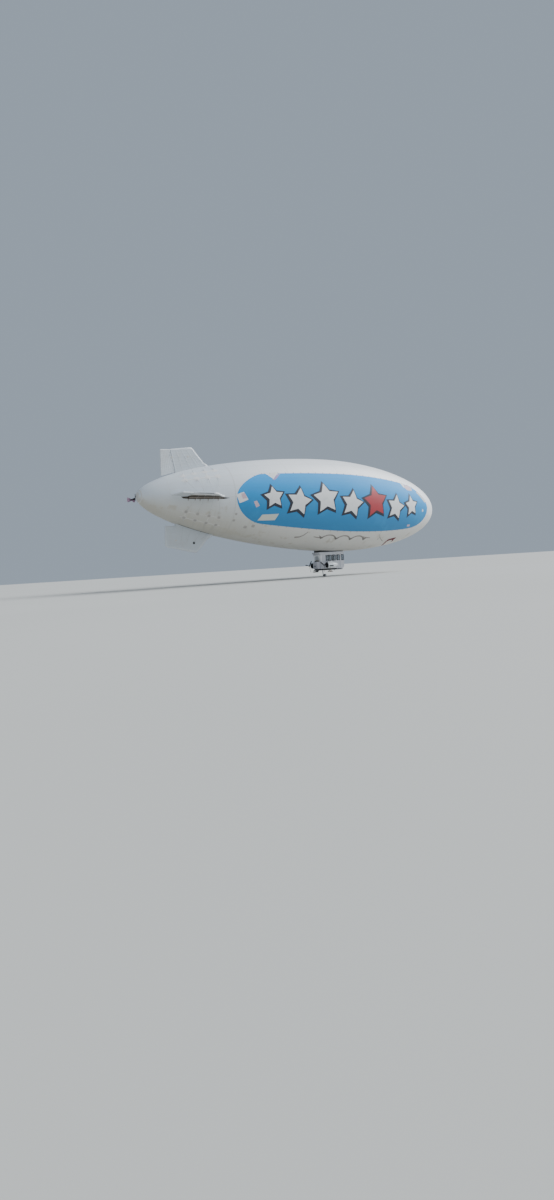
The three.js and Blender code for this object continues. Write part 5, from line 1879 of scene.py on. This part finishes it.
    @staticmethod
    def lens(x: float, z: float, chord: float) -> Array:
        """A level lens section of an aerial."""
        return np.column_stack((rounded(chord / 2, 0.008, 24, 2.2) + (x, 0.0), np.full(24, z)))

    def tail_fittings(self) -> None:
        """Louvres, hatch lines and latches on the tail box, the hood's cap, and a can hung on the rail."""
        slats = self.form()
        for z in np.linspace(0.36, 0.48, 5):
            slats.block((-0.342, -0.24, z), (-0.326, 0.24, z + 0.014), 0.003)
        slats.made("box_louvres", DARK_PAINT, "dark")
        cap = self.form().grid(pillow((-0.110, -0.13, 1.045), (0.090, 0.245, 0.040), soft=0.6))
        cap.made("hood_cap", OLIVE_PAINT, "dark")
        lines = self.form(self.box_rear, 0.0, 0.0)
        for y in (-0.27, 0.0, 0.27):
            lines.tube([(0.0, y, 0.53), (0.0, y, 0.77)], 0.004, 8)
        for z in (0.53, 0.77):
            lines.tube([(0.0, -0.27, z), (0.0, 0.27, z)], 0.004, 8)
        latch = [[-0.002, 0], [-0.002, 0.03], [0.006, 0.028], [0.008, 0]]
        for y in (-0.14, 0.14):
            lines.turned(latch, (0.0, y, 0.65), ASTERN, 20)
        lines.made("box_hatches", STEEL, "alloy")
        can = self.form(-0.112, -0.20, -0.095).turned(self.can, ORIGIN, ASTERN, 48)
        can.made("ballast_can", DARK_PAINT, "dark")
        hanger = self.form(-0.125, 0.0, -0.022)
        for y in (-0.26, -0.14):
            hanger.tube([(0.088 * c, y, 0.070 * s) for c, s in circle(24)], 0.006, 8, closed=True)
        hanger.made("can_hangers", STEEL, "alloy")
        rim = self.form(0.0, 0.0, 0.925)
        for x in (-0.222, -0.110):
            rim.tube([(x, -0.43, 0.0), (x, 0.17, 0.0)], 0.010, 10)
        rim.made("hood_straps", STEEL, "alloy")

    def seat(self, name: str, y: float) -> None:
        """A crew seat: padded pan and back on a tube frame, with a lap belt."""
        pads, base, belt = (self.form(0.0, y, self.floor) for _ in range(3))
        pads.grid(pillow((2.185, 0.0, 0.362), (0.235, 0.212, 0.056)))
        pads.grid(pillow((1.925, 0.0, 0.655), (0.052, 0.205, 0.240), lean=0.27))
        pad = pads.made(f"seat_{name}_pads", SEAT_CLOTH, "seating", sharp=80)
        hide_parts(f"seat_{name}")
        base.block((1.965, -0.205, 0.290), (2.41, 0.205, 0.312), 0.006)
        for side in (-0.17, 0.17):
            base.tube([(1.99, side, 0.012), (2.39, side, 0.012)], 0.012, 8)
            for x, top in ((2.01, 1.99), (2.36, 2.38)):
                base.tube([(x, side, 0.012), (top, side, 0.30)], 0.013, 8)
            base.tube([(1.975, side, 0.30), (1.95, side, 0.42), (1.80, side, 0.86)], 0.011, 8)
        base.made(f"seat_{name}_frame", STEEL, "alloy")
        strap = np.array([(2.00, 0.214, 0.37), (2.10, 0.216, 0.43), (2.20, 0.10, 0.428), (2.25, 0.03, 0.430)])
        for side in (-1, 1):
            belt.tube(spline(strap * (1, side, 1), 8), 0.012, 6)
        belt.block((2.225, -0.035, 0.420), (2.275, 0.035, 0.442), 0.005)
        belt.made(f"seat_{name}_belt", DARK_RIBBON, "seating")

    def bench(self) -> None:
        """The rear bench: one padded pan and back on a closed base."""
        pads, base = (self.form(0.0, 0.0, self.floor) for _ in range(2))
        pads.grid(pillow((0.935, 0.0, 0.355), (0.222, 0.555, 0.056), soft=0.28))
        pads.grid(pillow((0.682, 0.0, 0.628), (0.050, 0.555, 0.225), lean=0.17, soft=0.28))
        pad = pads.made("bench_pads", SEAT_CLOTH, "seating", sharp=80)
        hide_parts("bench_rear")
        base.block((0.72, -0.54, 0.002), (1.13, 0.54, 0.302), 0.012)
        for y in (-0.45, 0.0, 0.45):
            base.tube([(0.735, y, 0.28), (0.70, y, 0.45), (0.635, y, 0.83)], 0.012, 8)
        base.made("bench_base", LINING, "shell")

    def controls(self) -> None:
        """Gauges on the console, the elevator wheel between the seats, the pedals and the floor mat."""
        rims, dials, hands, wheel, mat = (self.form(0.0, 0.0, self.floor) for _ in range(5))
        face = np.array((2.715, 0.0, 0.752))
        up, out = np.array((0.419, 0.0, 0.908)), np.array((-0.908, 0.0, 0.419))
        rim = [[-0.002, 0.030], [-0.002, 0.041], [0.010, 0.041], [0.013, 0.037], [0.010, 0.033]]
        for row, level in enumerate((0.055, -0.048)):
            for i, y in enumerate(np.linspace(-0.235, 0.235, 6)):
                centre = face + up * level + (0.0, y, 0.0)
                rims.sleeve(rim, centre, out, 28)
                dials.rod(-0.002, 0.004, 0.034, centre, out, 28)
                turn = 0.7 * i + 1.9 * row
                hand = math.cos(turn) * up + (0.0, math.sin(turn), 0.0)
                centre = centre + out * 0.006
                hands.tube([centre - hand * 0.008, centre + hand * 0.026], 0.0018, 6)
        rims.made("gauge_rims", ALLOY, "alloy")
        dials.made("gauge_dials", SEAL_RUBBER, "dark")
        hands.made("gauge_hands", WHITE_PRINT)
        hub = np.array((2.235, 0.0, 0.50))
        wheel.tube([hub + (0.19 * c, 0.0, 0.19 * s) for c, s in circle(48)], 0.012, 10, closed=True)
        for c, s in circle(4, 0.4):
            wheel.tube([hub, hub + (0.185 * c, 0.0, 0.185 * s)], 0.007, 8)
        wheel.rod(-0.03, 0.03, 0.03, hub, TO_PORT, 24)
        wheel.tube([(2.235, 0.0, 0.005), hub], 0.018, 10)
        for y in (-0.38, -0.20, 0.20, 0.38):
            wheel.block((2.60, y - 0.045, 0.09), (2.625, y + 0.045, 0.21), 0.005)
            wheel.tube([(2.69, y, 0.01), (2.615, y, 0.14)], 0.008, 8)
        wheel.made("hand_wheel_and_pedals", DARK_PAINT, "dark")
        mat.block((0.20, -0.58, 0.0005), (2.68, 0.58, 0.006), 0.001)
        mat.made("floor_mat", SEAL_RUBBER, "dark")


@dataclass
class Engine(Placed):
    """One engine: smooth nacelle, finned cylinders, propeller, outrigger boots and exhaust.

    Its own frame has x ahead of the nacelle's rear lip, y to port and z up from the axis.
    """

    side: Side
    place: Point = (0.44, 1.35, -6.627)
    wall: float = 0.008
    profile: Route = (
        (0.0, 0.300), (0.16, 0.338), (0.38, 0.350), (0.82, 0.350), (1.12, 0.295), (1.30, 0.210),
        (1.40, 0.150),
    )
    grooves: Pair = (0.24, 1.08)
    groove_half: float = 0.0035
    slot: Pair = (0.10, 0.66)
    slot_middle: float = -0.28
    slot_half: float = 0.20
    slat_half: float = 0.185
    plane: float = -0.39
    blades: int = 3
    blade_sections: tuple[tuple[float, float, float, float], ...] = (
        (0.05, 0.060, 0.040, 52), (0.20, 0.105, 0.024, 40), (0.47, 0.120, 0.016, 26),
        (0.69, 0.092, 0.010, 18), (0.745, 0.044, 0.007, 16),
    )
    spinner: Route = (
        (-0.110, 0.0), (-0.104, 0.022), (-0.085, 0.046), (-0.05, 0.066), (0.0, 0.072), (0.028, 0.072),
    )
    pipe: float = 0.48
    muffler: Point = (-0.69, 0.14, 0.72)

    @property
    def origin(self) -> Point:
        """The middle of the nacelle's rear lip in the row frame."""
        x, y, z = self.place
        return x, self.side.value * y, z

    @property
    def body(self) -> Body:
        """The propeller's body."""
        return Body[f"PROPELLER_{self.side.name}"]

    def skin(self, x: float, angle: float, lift: float = 0.0) -> tuple[Array, Array]:
        """A point of the nacelle's skin at an angle up from outboard, and the way out of it."""
        line = spline(self.profile, 10)
        r = float(np.interp(x, line[:, 0], line[:, 1])) + lift
        out = np.array([0.0, self.side.value * math.cos(angle), math.sin(angle)])
        return r * out + (x, 0.0, 0.0), out

    def build(self) -> None:
        """Nacelle, its fittings, engine, propeller, outrigger and exhaust."""
        self.nacelle()
        self.nacelle_fittings()
        self.vent()
        self.intake()
        self.cylinders()
        self.propeller()
        self.hub()
        self.outrigger()
        self.exhaust()

    def nacelle(self) -> None:
        """The cowl: outside and inside in one closed surface, with grooves where its panels meet."""
        outside = spline(self.profile, 12)
        grooves = np.array(self.grooves)
        near = (grooves[:, None] + np.array([-0.006, -0.004, -0.003, 0.003, 0.004, 0.006])).ravel()
        x = np.unique(np.concatenate((outside[:, 0], near)))
        r = np.interp(x, outside[:, 0], outside[:, 1])
        inside = np.column_stack((x, r - self.wall))
        gap = (np.abs(x[:, None] - grooves) < self.groove_half).any(axis=1)
        profile = np.vstack((np.column_stack((x, r - 0.004 * gap)), inside[::-4], inside[:1], [(x[0], r[0])]))
        cowl = self.form().turned(profile, ORIGIN, AHEAD, 72)
        cowl = cowl.made(f"cowl_{self.side.word}", NACELLE_PAINT, "shell")
        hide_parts(f"nacelle_{self.side.word}")

    def nacelle_fittings(self) -> None:
        """Fasteners along the panel edges, and rings at both mouths."""
        studs = self.form()
        for x in (0.215, 0.265, 1.055, 1.105):
            for angle in np.arange(15) * np.pi / 8 + 0.1:
                foot, out = self.skin(x, angle)
                studs.turned([[-0.002, 0], [-0.002, 0.010], [0.002, 0.009], [0.003, 0]], foot, out, 10)
        rear = [[0.0, 0.291], [-0.006, 0.296], [0.0, 0.302], [0.02, 0.306], [0.02, 0.290]]
        front = [[1.39, 0.140], [1.405, 0.146], [1.40, 0.154], [1.38, 0.165], [1.375, 0.142]]
        studs.sleeve(rear, ORIGIN, AHEAD, 72).sleeve(front, ORIGIN, AHEAD, 72)
        studs.made(f"cowl_fasteners_{self.side.word}", ALLOY, "alloy")

    def vent(self) -> None:
        """The louvred slot outboard: a dark patch on the cowl's skin, painted shade of the opening, with
        slats across it that are darkened as painted shade too.
        """
        slot, slats = self.form(), self.form()
        line = np.linspace(*self.slot, 24)
        across = np.linspace(-self.slot_half, self.slot_half, 9) + self.slot_middle
        top, below = (
            np.array([[self.skin(x, a, lift)[0] for a in across] for x in line]) for lift in (0.0015, -0.003)
        )
        slot.grid(np.concatenate((top, below[:, ::-1], top[:, :1]), axis=1))
        for x in np.linspace(0.13, 0.62, 8):
            lower, out = self.skin(x, self.slot_middle - self.slat_half, 0.004)
            upper, _ = self.skin(x + 0.012, self.slot_middle + self.slat_half, 0.004)
            slats.tube([lower, (lower + upper) / 2 + out * 0.004, upper], 0.004, 8)
        slot.made(f"cowl_slot_{self.side.word}", DARK_CLOTH_AND_SHADE, "dark")
        slats.made(f"cowl_louvres_{self.side.word}", DARK_CLOTH_AND_SHADE, "dark")

    def intake(self) -> None:
        """The small scoop on top of the cowl and its mouth."""
        scoop = self.form().grid(pillow((0.62, 0.0, 0.345), (0.17, 0.075, 0.045), soft=0.7))
        scoop.made(f"cowl_scoop_{self.side.word}", NACELLE_PAINT, "shell")
        mouth = self.form().grid(pillow((0.745, 0.0, 0.352), (0.05, 0.052, 0.022), soft=0.8))
        mouth.made(f"scoop_mouth_{self.side.word}", DARK_PAINT, "dark")

    def cylinders(self) -> None:
        """Finned cylinders on both faces of the crankcase, with their pipes, and the cowl's near-black baffle
        and lining, partly painted shade inside the cowl's mouth.
        """
        dress(ALLOY, f"engine_{self.side.word}")
        fins, dark = self.form(), self.form()
        step = np.arange(0, 0.11, 0.005)
        radius = np.where(np.arange(len(step)) % 2 == 0, 0.068, 0.052)
        profile = np.vstack(([(-0.01, 0)], np.column_stack((step, radius)), [(0.115, 0.058), (0.120, 0.0)]))
        for way in (-1, 1):
            for x in (0.54, 0.69):
                fins.turned(profile, (x, way * 0.212, 0.0), (0, way, 0), 32)
                lead = [(x, way * 0.29, -0.05), (x - 0.03, way * 0.27, -0.16), (0.50, way * 0.10, -0.215)]
                fins.tube(lead, 0.016, 10)
        nose = [[0.0, 0.0275], [0.0, 0.11], [-0.03, 0.10], [-0.08, 0.05], [-0.10, 0.042], [-0.10, 0.0275]]
        fins.sleeve(nose, (0.329, 0.0, 0.0), AHEAD, 40)
        fins.made(f"cylinders_{self.side.word}", ALLOY, "alloy")
        # The baffle and lining are near black, partly as painted shade inside the cowl.
        baffle = [[0.30, 0.115], [0.30, 0.336], [0.285, 0.334], [0.285, 0.115]]
        liner = [[0.004, 0.2905], [0.16, 0.3285], [0.285, 0.336]]
        liner += [[0.285, 0.332], [0.16, 0.3245], [0.004, 0.287]]
        dark.sleeve(baffle, ORIGIN, AHEAD, 64).sleeve(liner, ORIGIN, AHEAD, 64)
        dark.made(f"cowl_lining_{self.side.word}", DARK_CLOTH_AND_SHADE, "dark")

    def propeller(self) -> None:
        """The blades, each a loft of lens sections.

        A section is (c/2 cos a, t/2 sin a), for its chord c and thickness t, turned by its twist.
        """
        blades = self.form(self.plane, 0.0, 0.0)
        r, chord, thick, twist = spline(np.array(self.blade_sections), 6).T
        a = np.linspace(0, 2 * np.pi, 28, endpoint=False)
        turn = np.radians(twist)[:, None]
        across = chord[:, None] / 2 * np.cos(a)
        through = thick[:, None] / 2 * np.sin(a) * (1 - 0.35 * np.cos(a))
        x = through * np.cos(turn) - across * np.sin(turn)
        y = across * np.cos(turn) + through * np.sin(turn)
        z = np.broadcast_to(r[:, None], x.shape)
        for c, s in circle(self.blades, math.radians(40 if self.side is Side.PORT else 60)):
            blades.loft(np.stack((x, y * c - z * s, y * s + z * c), axis=-1))
        blades = blades.made(f"blades_{self.side.word}", BLADE, "propeller", self.body, sharp=50)
        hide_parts(f"propeller_{self.side.word}")

    def hub(self) -> None:
        """The spinner with its bolts, and the shaft."""
        hub = self.form(self.plane, 0.0, 0.0)
        hub.turned(np.vstack((spline(self.spinner, 6), [(0.030, 0.066), (0.030, 0.0)])), ORIGIN, AHEAD, 48)
        hub.rod(0.02, 0.78, 0.025, ORIGIN, AHEAD)
        for c, s in circle(6):
            hub.bolt((0.030, 0.05 * c, 0.05 * s), AHEAD, 0.008, 0.006)
        hub.made(f"hub_{self.side.word}", DARK_PAINT, "dark", self.body)

    def outrigger(self) -> None:
        """Paint on the tubes, a rubber boot where each enters the cowl, and the foot plate's bolts."""
        word, inward = self.side.word, -self.side.value
        dress(STEEL, f"outrigger_{word}")
        boots, bolts = self.form(), self.form()
        ring = [[-0.012, 0.029], [-0.012, 0.052], [0.004, 0.056], [0.020, 0.040], [0.030, 0.0295]]
        for x in (0.43, 0.80):
            boots.sleeve(ring, (x, inward * 0.350, 0.0), (0, inward, 0), 32)
            for dx in (-0.065, 0.065):
                for z in (-0.065, 0.065):
                    bolts.bolt((x + dx, inward * 0.688, z), (0, -inward, 0), 0.011, 0.009)
        boots.made(f"outrigger_boots_{word}", SEAL_RUBBER, "dark")
        bolts.made(f"outrigger_bolts_{word}", STEEL, "alloy")

    def exhaust(self) -> None:
        """The down pipe, the muffler with its straps, and the tail pipe."""
        low, rear, front = self.muffler
        pipe, straps = self.form(0.0, 0.0, low), self.form(0.0, 0.0, low)
        pipe.tube([(self.pipe, 0.0, z) for z in (-0.191 - low, -low / 2, 0.05)], 0.026, 20)
        dome = [(0.0, 0.0), (0.001, 0.045), (0.015, 0.064), (0.05, 0.066)]
        can = [(rear + x, r) for x, r in dome] + [(front - x, r) for x, r in reversed(dome)]
        pipe.turned(can, ORIGIN, AHEAD, 40)
        tail = [[0.0, 0.019], [0.0, 0.024], [0.12, 0.024], [0.12, 0.0], [0.02, 0.0], [0.02, 0.019]]
        pipe.sleeve(tail, (rear - 0.10, 0.0, 0.0), AHEAD, 28)
        pipe = pipe.made(f"exhaust_pipe_{self.side.word}", HOT_STEEL, "dark")
        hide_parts(f"exhaust_{self.side.word}")
        band = [[-0.012, 0.0655], [-0.012, 0.069], [0.012, 0.069], [0.012, 0.0655]]
        for x in (rear + 0.12, front - 0.12):
            straps.sleeve(band, (x, 0.0, 0.0), AHEAD, 40)
        clamp = [[0.0, 0.026], [0.0, 0.036], [0.02, 0.036], [0.02, 0.026]]
        straps.sleeve(clamp, (self.pipe, 0.0, -0.36 - low), UP, 28)
        straps.made(f"muffler_straps_{self.side.word}", STEEL, "alloy")


@dataclass
class Gear:
    """The leg with its gaiter, the castoring fork's bolts, and the twin wheels."""

    leg: Pair = (0.86, -7.47)
    wheel: Pair = (1.08, -7.73)
    track: float = 0.170
    radius: float = 0.150
    half_width: float = 0.045
    bore: float = 0.0785
    gaiter: Pair = (7.306, 7.438)
    rib_pitch: float = 0.012
    tread_grooves: tuple[float, ...] = (-0.018, 0.0, 0.018)

    def build(self) -> None:
        """Leg, fork, hubs and tyres."""
        self.leg_parts()
        dress(ALLOY, "castor_fork", "wheel_hub")
        bolts = Form()
        for z in (-7.50, -7.545):
            for way in (-1, 1):
                bolts.bolt((self.leg[0], way * 0.049, z), (0, way, 0), 0.009, 0.008, sunk=0.0)
        bolts.made("fork_bolts", STEEL, "alloy", Body.CASTOR)
        for side in Side:
            self.tyre(side)
            self.hub_cap(side)

    def leg_parts(self) -> None:
        """The flange, sleeve and spindle, and the ribbed gaiter over the sliding part."""
        x, foot = self.leg
        profile = [
            (7.1205, 0), (7.1205, 0.110), (7.136, 0.110), (7.140, 0.104), (7.142, 0.052), (7.16, 0.043),
            (7.30, 0.042), (7.305, 0.036), (7.44, 0.036), (7.442, 0.042), (-foot, 0.042), (-foot, 0.018),
            (0.06 - foot, 0.018), (0.06 - foot, 0),
        ]
        leg = Form().turned(profile, (x, 0, 0), DOWN, 40).made("leg_strut", SHADED_SHELL_PAINT, "shell")
        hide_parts("gear_leg")
        z = np.linspace(*self.gaiter, 67)
        r = 0.041 + 0.0035 * np.sin((z - z[0]) / self.rib_pitch * 2 * np.pi)
        profile = np.vstack(([(z[0], 0.036)], np.column_stack((z, r)), [(z[-1], 0.036)]))
        Form().sleeve(profile, (x, 0, 0), DOWN, 36).made("leg_gaiter", SEAL_RUBBER, "dark")
        bolts = Form()
        for c, s in circle(6):
            bolts.bolt((x + 0.085 * c, 0.085 * s, -7.139), DOWN, 0.011, 0.008, sunk=0.0)
        bolts.made("leg_bolts", STEEL, "alloy")

    def tyre(self, side: Side) -> None:
        """A tyre.

        Its section is r = m + h c^e and y = w s^e, for signed powers of a cosine c and sine s, less grooves.
        """
        x, z = self.wheel
        turn = np.linspace(0, 2 * np.pi, 120, endpoint=False)
        c, s = np.cos(turn), np.sin(turn)
        middle, reach = (self.radius + self.bore) / 2, (self.radius - self.bore) / 2
        r = middle + reach * np.sign(c) * np.abs(c) ** 0.55
        across = self.half_width * np.sign(s) * np.abs(s) ** 0.62
        for groove in self.tread_grooves:
            r = r - 0.004 * (np.abs(across - groove) < 0.0022) * (c > 0)
        tyre = Form().sleeve(np.column_stack((across, r)), (x, side.value * self.track / 2, z), TO_PORT, 80)
        tyre = tyre.made(f"tread_{side.word}", TYRE_RUBBER, "tyre", Body.WHEELS, sharp=60)
        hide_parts(f"tyre_{side.word}")

    def hub_cap(self, side: Side) -> None:
        """A hub's cap and bolts."""
        x, z = self.wheel
        cap = Form((x, side.value * (self.track / 2 + 0.033), z))
        out = 0, side.value, 0
        cap.turned([[-0.01, 0], [-0.01, 0.034], [0.012, 0.030], [0.018, 0.018], [0.019, 0]], ORIGIN, out, 32)
        for c, s in circle(5):
            cap.bolt((0.054 * c, 0.0, 0.054 * s), out, 0.007, 0.006)
        cap.made(f"hub_cap_{side.word}", STEEL, "alloy", Body.WHEELS)


# Studio


@dataclass
class Studio:
    """The pale floor, soft lights and the camera."""

    floor_level: float = -7.88
    floor_radius: float = 900.0
    sky: tuple[float, float, float, float] = (0.67, 0.80, 0.96, 1.0)
    sky_strength: float = 0.48
    suns: tuple[tuple[str, float, Colour, float, Point], ...] = (
        ("overhead_light", 5.3, (0.93, 0.968, 1.0), 45.0, (1.32, -0.26, 1.0)),
        ("flank_light", 0.60, (1.0, 1.0, 1.0), 80.0, (0.35, -0.95, 0.45)),
    )
    place: Point = (-50.14, -65.85, -6.50)
    forward: Point = (0.5606, 0.8269, -0.0439)
    right: Point = (0.8246, -0.5623, -0.0617)
    up: Point = (0.0757, 0.0016, 0.9971)
    focal_pixels: float = 750.0
    frame_height: float = 1200.0

    def build(self) -> None:
        """Floor, lights and camera in turn."""
        self.floor()
        self.lights()
        self.camera()

    def floor(self) -> None:
        """A round floor just under the wheel."""
        ring = np.linspace(0, 2 * np.pi, 97)
        radii = np.array([0.0, 40.0, 160.0, self.floor_radius])
        level = np.full((len(radii), len(ring)), self.floor_level)
        points = np.stack((np.outer(radii, np.cos(ring)), np.outer(radii, np.sin(ring)), level), axis=-1)
        mesh = bpy.data.meshes.new("floor")
        mesh.from_pydata(points.reshape(-1, 3).tolist(), [], quads(*level.shape).tolist())
        mesh.materials.append(FLOOR.material())
        floor = added("floor", mesh)

    def lights(self) -> None:
        """An even pale sky, a broad light from above and a weaker one from the camera's side."""
        world = bpy.data.worlds.new("studio")
        bpy.context.scene.world = world
        world.use_nodes = True
        sky = world.node_tree.nodes["Background"]
        sky.inputs["Color"].default_value = self.sky
        sky.inputs["Strength"].default_value = self.sky_strength
        for name, energy, colour, spread, direction in self.suns:
            light = bpy.data.lights.new(name, "SUN")
            light.energy = energy
            light.color = colour
            light.angle = math.radians(spread)
            lamp = added(name, light)
            lamp.rotation_mode = "QUATERNION"
            lamp.rotation_quaternion = Vector(direction).to_track_quat("Z", "Y")

    def camera(self) -> None:
        """The photograph's viewpoint, with its focal length on the frame's long side."""
        data = bpy.data.cameras.new("camera")
        data.sensor_width = 36.0
        data.lens = data.sensor_width * self.focal_pixels / self.frame_height
        data.clip_end = 3000.0
        camera = added("camera", data)
        back = -np.array(self.forward)
        placed = Matrix(np.column_stack((self.right, self.up, back)).tolist()).to_4x4()
        placed.translation = Vector(self.place)
        camera.matrix_world = placed
        bpy.context.scene.camera = camera


def main() -> None:
    """Builds every sub-assembly in order."""
    logging.basicConfig(level=logging.INFO, format="%(name)s %(message)s")
    Studio().build()
    Envelope().build()
    for side in Side:
        FlankPanel(side).build()
    HullEnds().build()
    Tail().build()
    Rigging().build()
    Stern().build()
    Cabin().build()
    for side in Side:
        Engine(side).build()
    Gear().build()


if __name__ == "__main__":
    main()
